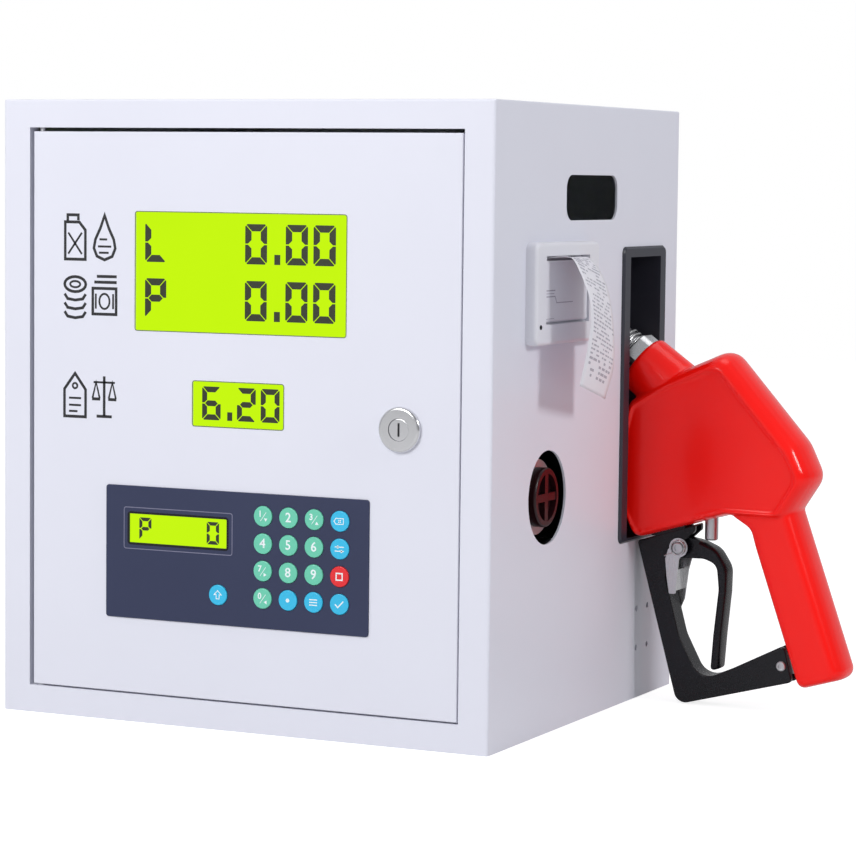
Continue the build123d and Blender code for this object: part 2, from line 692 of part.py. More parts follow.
# ---- flow meter: a chamber with two oval rotors on posts, its cover, and the outlet boss ----
meter_left = meter_x - meter_length / 2
meter_right = meter_x + meter_length / 2
chamber_low = port_z - oval_height / 2 - 0.5
chamber_high = port_z + oval_height / 2 + 0.5
meter_low = chamber_low - meter_floor
rotor_places = (port_y - oval_centres / 2, port_y + oval_centres / 2)
lobe_radius = oval_mean + oval_swing + oval_clearance
boss_end = half_width - plug_head - slip
leg_y = meter_width / 2 - 12
with BuildPart() as meter_body:
    block(meter_left, meter_right, port_y - meter_width / 2, port_y + meter_width / 2, meter_low,
          chamber_high)
    fillet(edges().filter_by(Axis.Z), 8)
    rod_x(port_y, port_z, port_boss_radius, meter_right, boss_end)
    for y in rotor_places:
        rod_z(meter_x, y, lobe_radius, chamber_low, chamber_high + 20, Mode.SUBTRACT)
    rod_x(port_y, port_z, pipe_bore_radius, meter_left - 1, boss_end, Mode.SUBTRACT)
    rod_x(port_y, port_z, port_bore_radius, boss_end - plug_shank - 1, boss_end + 1, Mode.SUBTRACT)
    for y in rotor_places:
        rod_z(meter_x, y, post_radius, chamber_low - 1, chamber_high)
    for y in (port_y - leg_y, port_y + leg_y):
        block(meter_x - 28, meter_x + 28, y - 5, y + 5, sheet, meter_low)
meter_body.part.label = "meter_body"
export_step(meter_body.part, "parts/meter_body.step")

meter_top = chamber_high + meter_cover_thickness
sensor_radius = 16.0  # pulse sensor on the cover
sensor_height = 18.0
with BuildPart() as meter_cover:
    block(meter_left, meter_right, port_y - meter_width / 2, port_y + meter_width / 2, chamber_high,
          meter_top)
    fillet(edges().filter_by(Axis.Z), 8)
    rod_z(meter_x, rotor_places[0], sensor_radius, meter_top, meter_top + sensor_height)
    with BuildSketch(Plane.XY.offset(meter_top)):
        with Locations((meter_x, port_y)):
            with GridLocations(meter_length - 18, meter_width - 18, 2, 2):
                RegularPolygon(5.5, 6)
    extrude(amount=4)
meter_cover.part.label = "meter_cover"
export_step(meter_cover.part, "parts/meter_cover.step")

oval_long = oval_mean + oval_swing
oval_short = oval_mean - oval_swing
meter_rotors = (("meter_rotor_a", rotor_places[0], 0), ("meter_rotor_b", rotor_places[1], 90))
for rotor_name, y, rotor_turn in meter_rotors:
    with BuildPart() as meter_rotor:
        with BuildSketch(Plane.XY.offset(port_z - oval_height / 2)):
            with Locations(Location((meter_x, y), rotor_turn)):
                Ellipse(oval_long, oval_short)
                Circle(post_radius + running, mode=Mode.SUBTRACT)
        extrude(amount=oval_height)
    meter_rotor.part.label = rotor_name
    export_step(meter_rotor.part, "parts/" + rotor_name + ".step")

# ---- pipes: suction fitting to the rear panel, and the bent pipe from pump to meter ----
pump_rear = pump_y + pump_half
pump_front = pump_y - pump_half
with BuildPart() as fuel_pipes:
    rod_y(inlet_x, pump_z, inlet_radius + inlet_wall, pump_rear, rear)
    rod_y(inlet_x, pump_z, pipe_bore_radius, pump_rear - 1, rear, Mode.SUBTRACT)
    rod_y(inlet_x, pump_z, inlet_radius, rear - inlet_depth, rear + 1, Mode.SUBTRACT)
    with BuildLine():
        FilletPolyline((inlet_x, pump_front, pump_z), (inlet_x, port_y, pump_z), (inlet_x, port_y, port_z),
                       (meter_left, port_y, port_z), radius=pipe_bend)
    with BuildSketch(Plane.XZ.offset(-pump_front)):
        with Locations((inlet_x, pump_z)):
            Circle(pipe_radius)
            Circle(pipe_bore_radius, mode=Mode.SUBTRACT)
    sweep()
fuel_pipes.part.label = "fuel_pipes"
export_step(fuel_pipes.part, "parts/fuel_pipes.step")

# ---- outlet plug: ribbed head and a shank in the outlet boss ----
with BuildPart() as outlet_plug:
    rod_x(port_y, port_z, plug_radius, half_width - plug_head, half_width)
    fillet(edges().sort_by(Axis.X)[-1], 1.5)
    rod_x(port_y, port_z, plug_radius - 4, half_width - 4, half_width + 1, Mode.SUBTRACT)
    for angle in (0, 90):
        with BuildSketch(Plane.YZ.offset(half_width - 4.5)):
            with Locations(Location((port_y, port_z), angle)):
                Rectangle(2 * plug_radius - 6, 5)
        extrude(amount=4)
    rod_x(port_y, port_z, port_bore_radius - running, half_width - plug_head - plug_shank,
          half_width - plug_head)
outlet_plug.part.label = "outlet_plug"
export_step(outlet_plug.part, "parts/outlet_plug.step")

# ---- power supply and cable gland ----
with BuildPart() as power_supply_box:
    block(-wall_in, -wall_in + supply_depth, supply_y - supply_length / 2, supply_y + supply_length / 2,
          supply_z - supply_height / 2, supply_z + supply_height / 2)
    fillet(edges().filter_by(Axis.X), 3)
    with Locations((-wall_in + supply_depth, supply_y, supply_z)):
        with Locations(Plane.YZ):
            with GridLocations(1, supply_vent_pitch, 1, supply_vents):
                Box(0.8 * supply_length, 4, 2, mode=Mode.SUBTRACT)
power_supply_box.part.label = "power_supply_box"
export_step(power_supply_box.part, "parts/power_supply_box.step")

with BuildPart() as cable_gland:
    rod_y(gland_x, gland_z, gland_radius, rear - 10, rear)
    with BuildSketch(Plane.XZ.offset(-rear)):
        with Locations((gland_x, gland_z)):
            RegularPolygon(gland_radius + 4, 6)
    extrude(amount=-5)
    rod_y(gland_x, gland_z, gland_radius + 1, rear + 5, rear + 13)
    fillet(edges().sort_by(Axis.Y)[-1], 3)
    with BuildSketch(Plane.XZ.offset(-flange_face)):
        with Locations((gland_x, gland_z)):
            RegularPolygon(gland_radius + 4, 6)
    extrude(amount=4)
    rod_y(gland_x, gland_z, gland_radius / 2, rear - 11, rear + 14, Mode.SUBTRACT)
cable_gland.part.label = "cable_gland"
export_step(cable_gland.part, "parts/cable_gland.step")

# ---- nozzle outlines, in the nozzle's own plane: x out from the panel, y up ----
body_points = [(30, 222.5), (62, 236.5), (116, 176.5), (127, 152), (108, 124), (64, 125), (-1, 106.1),
               (-13, 132), (-13, 172), (-7, 200)]
body_radii = [8, 14, 20, 12, 5, 4, 5, 15, 20, 6]
grip_points = [(115.5, 11.5), (149.5, 21.5), (112, 132), (100, 160), (72, 150), (66, 125.5), (80, 117),
               (85.5, 98)]
grip_radii = [5, 5, 12, 6, 6, 4, 8, 20]
grip_end = Vector(132.5, 16.5)
grip_way = Vector(0, 1).rotate(Axis.Z, 16.3)
inlet_plane = Plane(origin=nozzle_plane.from_local_coords(grip_end), x_dir=(0, 1, 0),
                    z_dir=(grip_way.X, 0, grip_way.Y))
with BuildSketch() as body_outline:
    with BuildLine():
        FilletPolyline(*body_points, radius=body_radii, close=True)
    make_face()
with BuildSketch() as grip_outline:
    with BuildLine():
        FilletPolyline(*grip_points, radius=grip_radii, close=True)
    make_face()
lug_left = 8.0  # guard's upper lug, let into the casting
lug_right = 32.0
lug_top = 124.0
bolt_x = 102.0
bolt_z = 26.0
ear_width = 8.0  # casting's ear between the guard's lower cheeks
side_slack = guard_width / 2 + slip
with BuildPart() as nozzle_cover:
    with BuildSketch(nozzle_plane):
        add(body_outline.sketch)
    extrude(amount=body_width / 2, both=True)
    fillet(faces().filter_by(Axis.Y).edges(), 3.5)
    with BuildSketch(nozzle_plane):
        add(grip_outline.sketch)
    extrude(amount=grip_width / 2, both=True)
    with BuildSketch(nose_plane):
        Circle(nose_radius)
    extrude(amount=-nose_length)
    with BuildSketch(nozzle_plane):
        offset(body_outline.sketch, amount=-cover_wall)
    extrude(amount=body_width / 2 - cover_wall, both=True, mode=Mode.SUBTRACT)
    with BuildSketch(nose_plane):
        Circle(nose_radius - nose_wall)
    extrude(amount=-nose_length, mode=Mode.SUBTRACT)
    with BuildSketch(inlet_plane.offset(-hose_recess)):
        Circle(grip_core_radius + casting_gap)
    extrude(amount=hose_recess + grip_core_step, mode=Mode.SUBTRACT)
    with BuildSketch(inlet_plane):
        Circle(grip_neck_radius + casting_gap)
    extrude(amount=grip_core_length, mode=Mode.SUBTRACT)
    with BuildSketch(nozzle_plane):
        with Locations(((lug_left + lug_right) / 2, lug_top - 20)):
            Rectangle(lug_right - lug_left + 2 * slip, 40 + 2 * slip)
        with Locations((stem_x, 120)):
            Rectangle(2 * stem_radius + 3, 30)
    extrude(amount=side_slack, both=True, mode=Mode.SUBTRACT)
    with BuildSketch(nozzle_plane):
        with Locations((bolt_x + 6, bolt_z + 4)):
            Rectangle(18, 28)
    extrude(amount=ear_width / 2 + slip, both=True, mode=Mode.SUBTRACT)
nozzle_cover.part.label = "nozzle_cover"
export_step(nozzle_cover.part, "parts/nozzle_cover.step")

casting_inset = cover_wall + casting_gap
ear_points = [(97.5, 19.5), (97.5, 33), (113, 41), (119, 22)]
with BuildPart() as nozzle_casting:
    with BuildSketch(nozzle_plane):
        offset(body_outline.sketch, amount=-casting_inset)
    extrude(amount=body_width / 2 - casting_inset, both=True)
    with BuildSketch(inlet_plane.offset(hose_recess)):
        Circle(grip_core_radius)
    extrude(amount=grip_core_step - hose_recess - casting_gap)
    with BuildSketch(inlet_plane.offset(hose_recess)):
        Circle(grip_neck_radius)
    extrude(amount=grip_core_length - hose_recess)
    with BuildSketch(nose_plane):
        Circle(nose_radius - nose_wall - casting_gap)
    extrude(amount=-nose_length)
    with BuildSketch(nozzle_plane):
        with BuildLine():
            Polyline(*ear_points, close=True)
        make_face()
    extrude(amount=ear_width / 2, both=True)
    with BuildSketch(nozzle_plane):
        with Locations(((lug_left + lug_right) / 2, lug_top - 20)):
            Rectangle(lug_right - lug_left, 40)
    extrude(amount=body_width, both=True, mode=Mode.SUBTRACT)
    with BuildSketch(nozzle_plane):
        with Locations((bolt_x, bolt_z)):
            Circle(pivot_radius)
    extrude(amount=body_width, both=True, mode=Mode.SUBTRACT)
    with BuildSketch(nose_plane):
        Circle(spout_radius)
    extrude(amount=-20, mode=Mode.SUBTRACT)
    with BuildSketch(nose_plane):
        Circle(spout_bore_radius)
    extrude(amount=-75, mode=Mode.SUBTRACT)
    with BuildSketch(inlet_plane.offset(hose_recess)):
        Circle(hose_thread_radius)
    extrude(amount=hose_thread_length, mode=Mode.SUBTRACT)
    with BuildSketch(inlet_plane):
        Circle(hose_bore_radius)
    extrude(amount=grip_core_length + 10, mode=Mode.SUBTRACT)
    with BuildSketch(Plane(origin=nozzle_plane.from_local_coords((stem_x, 100)), z_dir=(0, 0, 1))):
        Circle(stem_radius + running)
    extrude(amount=65, mode=Mode.SUBTRACT)
nozzle_casting.part.label = "nozzle_casting"
export_step(nozzle_casting.part, "parts/nozzle_casting.step")

# ---- spout, its collar and retaining coil ----
spout_inset = 18.0  # into the casting's nose
spout_corner = spout_bend * math.tan(math.radians(spout_rise + spout_droop) / 2)  # bend's tangent length
spout_turn = nose_centre + spout_way * (spout_lead + spout_corner)
spout_route = (nose_centre - spout_way * spout_inset, spout_turn,
               spout_turn + tip_way * (spout_tip + spout_corner))
with BuildPart() as spout:
    with BuildLine() as spout_line:
        FilletPolyline([nozzle_plane.from_local_coords(point) for point in spout_route], radius=spout_bend)
    with BuildSketch(nose_plane.offset(-spout_inset)):
        Circle(spout_radius)
    sweep(path=spout_line.line)
    with BuildSketch(nose_plane.offset(-spout_inset)):
        Circle(spout_bore_radius)
    sweep(path=spout_line.line, mode=Mode.SUBTRACT)
spout.part.label = "spout"
export_step(spout.part, "parts/spout.step")

collar_length = 10.0
with BuildPart() as spout_collar:
    with BuildSketch(nose_plane.offset(casting_gap)):
        RegularPolygon(collar_radius, 6)
    extrude(amount=collar_length)
    with BuildSketch(nose_plane.offset(casting_gap)):
        Circle(collar_radius - 1.2)
    extrude(amount=collar_length, mode=Mode.INTERSECT)
    with BuildSketch(nose_plane):
        Circle(spout_radius + running)
    extrude(amount=2 * collar_length, mode=Mode.SUBTRACT)
spout_collar.part.label = "spout_collar"
export_step(spout_collar.part, "parts/spout_collar.step")

coil_wire = 1.0
coil_base = nose_plane.offset(casting_gap + collar_length + coil_wire)
with BuildPart() as spout_spring:
    with BuildLine() as coil_path:
        Helix(pitch=3.4, height=10.2, radius=spout_radius + coil_wire + running, center=coil_base.origin,
              direction=coil_base.z_dir)
    with BuildSketch(Plane(origin=coil_path.line @ 0, z_dir=coil_path.line % 0)):
        Circle(coil_wire)
    sweep(is_frenet=True)
spout_spring.part.label = "spout_spring"
export_step(spout_spring.part, "parts/spout_spring.step")

# ---- lever guard: a bent bar, forked for the lever's eye and for the casting's ear ----
pivot = (28.2, 101.0)
guard_points = [(-2.2, 103.9), (28.3, -6), (109.5, 15.5), (103.5, 40), (66, 21), (44.5, 11.5), (29, 41),
                (18.5, 80), (20, 95), (39, 112.5), (39, 117)]
guard_radii = [2, 8, 3, 3, 8, 13, 30, 12, 6, 2, 1]
eye_slot = lever_eye_width / 2 + slip + 0.1
with BuildPart() as lever_guard:
    with BuildSketch(nozzle_plane):
        with BuildLine():
            FilletPolyline(*guard_points, radius=guard_radii, close=True)
        make_face()
    extrude(amount=guard_width / 2, both=True)
    fillet(faces().filter_by(Axis.Y).edges(), 0.9)
    with BuildSketch(nozzle_plane):
        with Locations(((lug_left + lug_right) / 2, lug_top - 8)):
            Rectangle(lug_right - lug_left - 0.2, 16)
    extrude(amount=guard_width / 2 - 0.1, both=True)
    with BuildSketch(nozzle_plane):
        with Locations(pivot):
            Circle(11)
        with Locations((pivot[0] + 12, pivot[1] + 2)):
            Rectangle(20, 26)
        with Locations((bolt_x + 4.3, bolt_z)):
            Rectangle(20, 40)
    extrude(amount=eye_slot, both=True, mode=Mode.SUBTRACT)
    with BuildSketch(nozzle_plane):
        with Locations(pivot, (bolt_x, bolt_z)):
            Circle(pivot_radius)
    extrude(amount=guard_width, both=True, mode=Mode.SUBTRACT)
lever_guard.part.label = "lever_guard"
export_step(lever_guard.part, "parts/lever_guard.step")

# ---- lever: a hooked bar with a narrow eye on the pivot pin ----
eye_radius = 7.5
lever_points = [(28.2, 108.5), (42, 106), (54, 101), (62, 88.5), (61.6, 72), (58.8, 43), (57.1, 20.2),
                (50.8, 18.2), (52.5, 43), (55.7, 74), (54, 90.5), (45, 93.8), (28.2, 93.5)]
lever_radii = [0, 16, 14, 12, 30, 60, 2, 2, 60, 20, 8, 12, 0]
lever_shoulder = 43.0
with BuildPart() as lever:
    with BuildSketch(nozzle_plane):
        with BuildLine():
            FilletPolyline(*lever_points, radius=lever_radii, close=True)
        make_face()
        with Locations(pivot):
            Circle(eye_radius)
    extrude(amount=lever_width / 2, both=True)
    fillet(faces().filter_by(Axis.Y).edges(), 1)
    for side in (-1, 1):
        with BuildSketch(nozzle_plane.offset(side * (lever_eye_width / 2 + 5))):
            with Locations((lever_shoulder - 20, pivot[1])):
                Rectangle(40, 40)
        extrude(amount=5, both=True, mode=Mode.SUBTRACT)
    with BuildSketch(nozzle_plane):
        with Locations(pivot):
            Circle(pivot_radius + running)
    extrude(amount=lever_width, both=True, mode=Mode.SUBTRACT)
lever.part.label = "lever"
export_step(lever.part, "parts/lever.step")

# ---- hold-open clip: two cheeks outside the guard, joined by a web ----
clip_near = [(21, 100), (19, 93), (20, 82), (22, 69.5), (26.5, 69.5), (28.5, 93), (33, 100)]
clip_far = [(21, 100), (19, 93), (19.5, 70), (18.7, 51), (20.5, 51), (26, 64), (28.6, 84), (33, 100)]
clip_corner = 0.9
clip_web_x = 24.5
clip_inside = guard_width / 2 + slip + 0.15
with BuildPart() as hold_open_clip:
    for side, cheek_points in ((1, clip_near), (-1, clip_far)):
        with BuildSketch(nozzle_plane.offset(side * (clip_inside + clip_sheet / 2))):
            with BuildLine():
                FilletPolyline(*cheek_points, radius=clip_corner, close=True)
            make_face()
            with Locations(pivot):
                Circle(6.5)
                Circle(pivot_radius + running, mode=Mode.SUBTRACT)
        extrude(amount=clip_sheet / 2, both=True)
    with BuildSketch(nozzle_plane):
        with Locations((clip_web_x, 78)):
            Rectangle(clip_sheet, 14)
    extrude(amount=clip_inside + clip_sheet / 2, both=True)
hold_open_clip.part.label = "hold_open_clip"
export_step(hold_open_clip.part, "parts/hold_open_clip.step")

# ---- pins: the lever and clip pivot, and the guard bolt, each with two heads ----
pin_reach = clip_inside + clip_sheet + 0.25
with BuildPart() as nozzle_pins:
    with BuildSketch(nozzle_plane):
        with Locations(pivot):
            Circle(pivot_radius)
    extrude(amount=pin_reach, both=True)
    for side in (-1, 1):
        with BuildSketch(nozzle_plane.offset(side * (pin_reach + 1))):
            with Locations(pivot):
                RegularPolygon(5, 6)
        extrude(amount=1, both=True)
    with BuildSketch(nozzle_plane):
        with Locations((bolt_x, bolt_z)):
            Circle(pivot_radius)
    extrude(amount=guard_width / 2, both=True)
    for side in (-1, 1):
        with BuildSketch(nozzle_plane.offset(side * (guard_width / 2 + 1.25))):
            with Locations((bolt_x, bolt_z)):
                RegularPolygon(5, 6)
        extrude(amount=1.25, both=True)
nozzle_pins.part.label = "nozzle_pins"
export_step(nozzle_pins.part, "parts/nozzle_pins.step")

# ---- valve stem: a plunger over the lever, in the casting's bore ----
stem_foot = 106.4
stem_top = 157.0
with BuildPart() as valve_stem:
    with BuildSketch(Plane(origin=nozzle_plane.from_local_coords((stem_x, stem_foot)), z_dir=(0, 0, 1))):
        Circle(stem_radius)
    extrude(amount=stem_top - stem_foot)
    chamfer(edges().group_by(Axis.Z)[0], 0.8)
valve_stem.part.label = "valve_stem"
export_step(valve_stem.part, "parts/valve_stem.step")
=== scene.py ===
import bmesh
import bpy
import json
import math
import numpy as np
import random
from mathutils import Matrix, Vector


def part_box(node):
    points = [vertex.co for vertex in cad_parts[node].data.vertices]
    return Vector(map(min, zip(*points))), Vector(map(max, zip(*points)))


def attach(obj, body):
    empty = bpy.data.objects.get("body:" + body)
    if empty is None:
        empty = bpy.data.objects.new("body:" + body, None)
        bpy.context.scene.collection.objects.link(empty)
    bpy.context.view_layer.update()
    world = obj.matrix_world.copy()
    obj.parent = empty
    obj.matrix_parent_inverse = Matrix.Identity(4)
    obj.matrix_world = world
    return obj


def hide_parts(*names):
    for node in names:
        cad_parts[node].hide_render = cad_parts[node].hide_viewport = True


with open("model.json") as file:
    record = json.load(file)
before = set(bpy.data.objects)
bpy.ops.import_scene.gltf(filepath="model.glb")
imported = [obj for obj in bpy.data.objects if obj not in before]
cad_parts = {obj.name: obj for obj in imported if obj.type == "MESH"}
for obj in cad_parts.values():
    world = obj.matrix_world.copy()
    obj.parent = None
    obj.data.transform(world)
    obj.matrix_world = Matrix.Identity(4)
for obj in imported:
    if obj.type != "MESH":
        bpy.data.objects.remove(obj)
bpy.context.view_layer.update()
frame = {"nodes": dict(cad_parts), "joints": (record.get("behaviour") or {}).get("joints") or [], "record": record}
mm = 0.001
print("frame loaded:", len(frame["nodes"]), "nodes")

# Camera.
view = dict(azimuth=25.394, drop=4.642, roll=0.642, place=(0.9305, -1.8361, 0.3508), sensor=36.0, lens=128.37)


def makeCamera():
    a, e, r = (math.radians(view[key]) for key in ("azimuth", "drop", "roll"))
    ahead = Vector((-math.sin(a) * math.cos(e), math.cos(a) * math.cos(e), -math.sin(e)))
    right = Vector((math.cos(a), math.sin(a), 0))
    up = right.cross(ahead)
    turnedRight = right * math.cos(r) + up * math.sin(r)
    turnedUp = up * math.cos(r) - right * math.sin(r)
    lens = bpy.data.cameras.new("productCamera")
    lens.sensor_width = view["sensor"]
    lens.lens = view["lens"]
    lens.clip_end = 50
    camera = bpy.data.objects.new("productCamera", lens)
    axes = Matrix((turnedRight, turnedUp, -ahead)).transposed().to_4x4()
    camera.matrix_world = Matrix.Translation(view["place"]) @ axes
    bpy.context.scene.collection.objects.link(camera)
    bpy.context.scene.camera = camera


makeCamera()


# Shader helper: a socket that takes part in Python expressions.
class Wire:
    def __init__(self, finish, socket):
        self.finish = finish
        self.socket = socket

    def maths(self, operation, *others):
        return self.finish.add("Math", {"operation": operation}, dict(enumerate((self,) + others)))

    def __add__(self, other):
        return self.maths("ADD", other)

    def __mul__(self, other):
        return self.maths("MULTIPLY", other)

    def __gt__(self, other):
        return self.maths("GREATER_THAN", other)


class Finish:
    def __init__(self, name):
        self.material = bpy.data.materials.new(name)
        self.material.use_nodes = True
        self.tree = self.material.node_tree
        self.shader = next(node for node in self.tree.nodes if node.type == "BSDF_PRINCIPLED")

    def add(self, kind, settings=None, sockets=None, out=0):
        node = self.tree.nodes.new("ShaderNode" + kind)
        for key, value in (settings or {}).items():
            setattr(node, key, value)
        for key, value in (sockets or {}).items():
            self.plug(node.inputs[key], value)
        return Wire(self, node.outputs[out])

    def plug(self, socket, value):
        if isinstance(value, Wire):
            self.tree.links.new(value.socket, socket)
        elif hasattr(value, "__len__") and len(value) == 3 and len(socket.default_value) == 4:
            socket.default_value = (*value, 1)
        else:
            socket.default_value = value

    def place(self):
        return self.add("TexCoord", out=3)

    def noise(self, scale, detail=2.0, rough=0.5, where=None):
        return self.add("TexNoise", None, {"Vector": where or self.place(), "Scale": scale, "Detail": detail,
                                           "Roughness": rough})

    def blendTones(self, share, first, second):
        return self.add("Mix", {"data_type": "RGBA"}, {0: share, 6: first, 7: second}, out=2)

    def bump(self, height, strength, distance, under=None):
        sockets = {"Height": height, "Strength": strength, "Distance": distance}
        if under:
            sockets["Normal"] = under
        return self.add("Bump", None, sockets)

    def setUp(self, **sockets):
        for key, value in sockets.items():
            self.plug(self.shader.inputs[key.replace("_", " ")], value)
        return self.material


# Finishes.
def powderCoat():
    look = dict(tone=(0.735, 0.742, 0.830), shade=(0.70, 0.707, 0.795), rough=0.36, peel=520,
                peelDepth=0.00006)
    f = Finish("cabinetPowderCoat")
    cloud = f.noise(9, 3)
    peel = f.noise(look["peel"], 2)
    grain = f.noise(1900, 1)
    tone = f.blendTones(cloud, look["shade"], look["tone"])
    height = peel + grain * 0.35
    return f.setUp(Base_Color=tone, Roughness=cloud * 0.08 + look["rough"],
                   Normal=f.bump(height, 0.22, look["peelDepth"]), Specular_IOR_Level=0.5)


def moulded(name, tone, rough, grainScale=900.0, grainDepth=0.00005, grain=0.25, spread=0.12, coat=0.0,
            shine=0.5):
    f = Finish(name)
    cloud = f.noise(14, 3)
    fine = f.noise(grainScale, 3, 0.6)
    darker = tuple(value * (1 - spread) for value in tone)
    return f.setUp(Base_Color=f.blendTones(cloud, darker, tone),
                   Roughness=fine * 0.1 + cloud * 0.05 + (rough - 0.07),
                   Normal=f.bump(fine, grain, grainDepth), Coat_Weight=coat, Coat_Roughness=0.08,
                   Specular_IOR_Level=shine)


def vinyl():
    # The faint red emission is painted light: the cover glows a little, lifting its red where the lamps leave it
    # darker.
    look = dict(tone=(0.93, 0.006, 0.003), deep=(0.85, 0.004, 0.002), rough=0.18,
                glow=(0.08, 0.0005, 0.0002))
    f = Finish("coverRedVinyl")
    cloud = f.noise(16, 2)
    ripple = f.noise(45, 2)
    skin = f.noise(1500, 2)
    wavy = f.bump(ripple, 0.16, 0.0006)
    return f.setUp(Base_Color=f.blendTones(cloud, look["deep"], look["tone"]),
                   Roughness=cloud * 0.08 + look["rough"], Specular_IOR_Level=0.3,
                   Normal=f.bump(skin, 0.06, 0.00003, wavy), Coat_Weight=0.12,
                   Coat_Roughness=0.05, Emission_Color=look["glow"], Emission_Strength=1.0)


def metal(name, tone, rough, scale=(1, 1, 1), grainScale=260.0, streak=0.3, depth=0.00003):
    f = Finish(name)
    stretched = f.add("Mapping", None, {"Vector": f.place(), "Scale": scale})
    lines = f.noise(grainScale, 3, 0.6, where=stretched)
    cloud = f.noise(25, 3)
    darker = tuple(value * 0.82 for value in tone)
    return f.setUp(Base_Color=f.blendTones(cloud, darker, tone), Metallic=1.0,
                   Roughness=lines * 0.16 + cloud * 0.06 + (rough - 0.1), Normal=f.bump(lines, streak, depth))


def castIron(name, tone):
    f = Finish(name)
    cloud = f.noise(30, 4)
    sand = f.noise(420, 4, 0.7)
    worn = f.noise(70, 5, 0.7) > 0.66
    tone = f.blendTones(cloud, tuple(value * 0.7 for value in tone), tone)
    return f.setUp(Base_Color=f.blendTones(worn, tone, (0.3, 0.3, 0.3)), Roughness=sand * 0.2 + 0.4,
                   Normal=f.bump(sand, 0.5, 0.0003))


def litDisplay(name, glow):
    look = dict(tone=(0.585, 0.96, 0.0), dim=(0.555, 0.93, 0.0))
    f = Finish(name)
    cloud = f.noise(22, 2)
    mesh = f.noise(2600, 1)
    tone = f.blendTones(cloud, look["dim"], look["tone"])
    return f.setUp(Base_Color=(0.01, 0.015, 0.0), Emission_Color=tone, Emission_Strength=glow,
                   Roughness=mesh * 0.08 + 0.2, Specular_IOR_Level=0.12)


def circuit():
    f = Finish("circuitBoard")
    tracks = f.add("TexBrick", {"offset": 0.5}, {"Vector": f.place(), "Scale": 260.0, "Mortar Size": 0.02}, out=1)
    tone = f.blendTones(tracks, (0.01, 0.12, 0.05), (0.03, 0.25, 0.11))
    return f.setUp(Base_Color=tone, Roughness=tracks * 0.2 + 0.3, Normal=f.bump(tracks, 0.3, 0.0001))


def overlayFilm():
    f = Finish("overlayFilm")
    weave = f.noise(1400, 2)
    cloud = f.noise(12, 2)
    return f.setUp(Base_Color=f.blendTones(cloud, (0.027, 0.034, 0.078), (0.033, 0.041, 0.092)),
                   Roughness=weave * 0.15 + 0.36, Specular_IOR_Level=0.3, Normal=f.bump(weave, 0.25, 0.00004))


def printInk(name, dark, pale, rough=0.4, scale=900, detail=2, spread=0.1):
    f = Finish(name)
    grain = f.noise(scale, detail)
    return f.setUp(Base_Color=f.blendTones(grain, dark, pale), Roughness=grain * spread + rough)


finishes = {
    "cabinet_paint": powderCoat(),
    "zinc_screws": metal("zincPlate", (0.62, 0.62, 0.64), 0.34),
    "boot_plastic": moulded("bootCharcoal", (0.026, 0.028, 0.042), 0.4, 1100, 0.00006, 0.35),
    "printer_plastic": moulded("printerOffWhite", (0.76, 0.76, 0.82), 0.40, 1000, 0.00004, 0.2, 0.05),
    "paper": moulded("thermalPaper", (0.80, 0.79, 0.85), 0.55, 1800, 0.00002, 0.2, 0.04),
    "pump_iron": castIron("pumpCasting", (0.09, 0.11, 0.13)),
    "meter_aluminium": metal("meterCasting", (0.55, 0.55, 0.57), 0.45, grainScale=600, depth=0.0001),
    "pipe_brass": metal("brassPipe", (0.72, 0.52, 0.24), 0.3),
    # plug: its own dark red, darkened further as painted shade of the port it sits in
    "plug_plastic": moulded("plugDarkRedPaintedShade", (0.022, 0.004, 0.006), 0.3, 700, 0.00005, 0.2, shine=0.35),
    "electric_plastic": moulded("blackHousing", (0.02, 0.02, 0.022), 0.45),
    "display_glass": litDisplay("litWindow", 0.97),
    "lcd": litDisplay("lcdLayer", 0.9),
    "circuit_board": circuit(),
    "overlay_film": overlayFilm(),
    "key_mint": moulded("keyMint", (0.14, 0.60, 0.42), 0.3, 900, 0.00003, 0.15, 0.1, 0.2),
    "key_cyan": moulded("keyCyan", (0.025, 0.50, 0.80), 0.3, 900, 0.00003, 0.15, 0.1, 0.2),
    "key_red": moulded("keyRed", (0.80, 0.012, 0.02), 0.3, 900, 0.00003, 0.15, 0.1, 0.2),
    "lock_chrome": metal("lockChrome", (0.80, 0.80, 0.82), 0.16, grainScale=900, streak=0.1),
    "cover_vinyl": vinyl(),
    "nozzle_aluminium": metal("nozzleAluminium", (0.70, 0.70, 0.72), 0.28, grainScale=500),
    "stainless": metal("stainlessSheet", (0.66, 0.66, 0.67), 0.25, (1, 1, 0.1), 500),
    "guard_plastic": moulded("guardBlack", (0.006, 0.006, 0.009), 0.26, 1000, 0.00004, 0.25, shine=0.32),
}
slotOf = {row["node"]: row["material_slot"] for row in frame["record"]["subparts"]}
for node, item in frame["nodes"].items():
    item.data.materials.clear()
    item.data.materials.append(finishes[slotOf[node]])
print("finishes ready:", len(finishes))


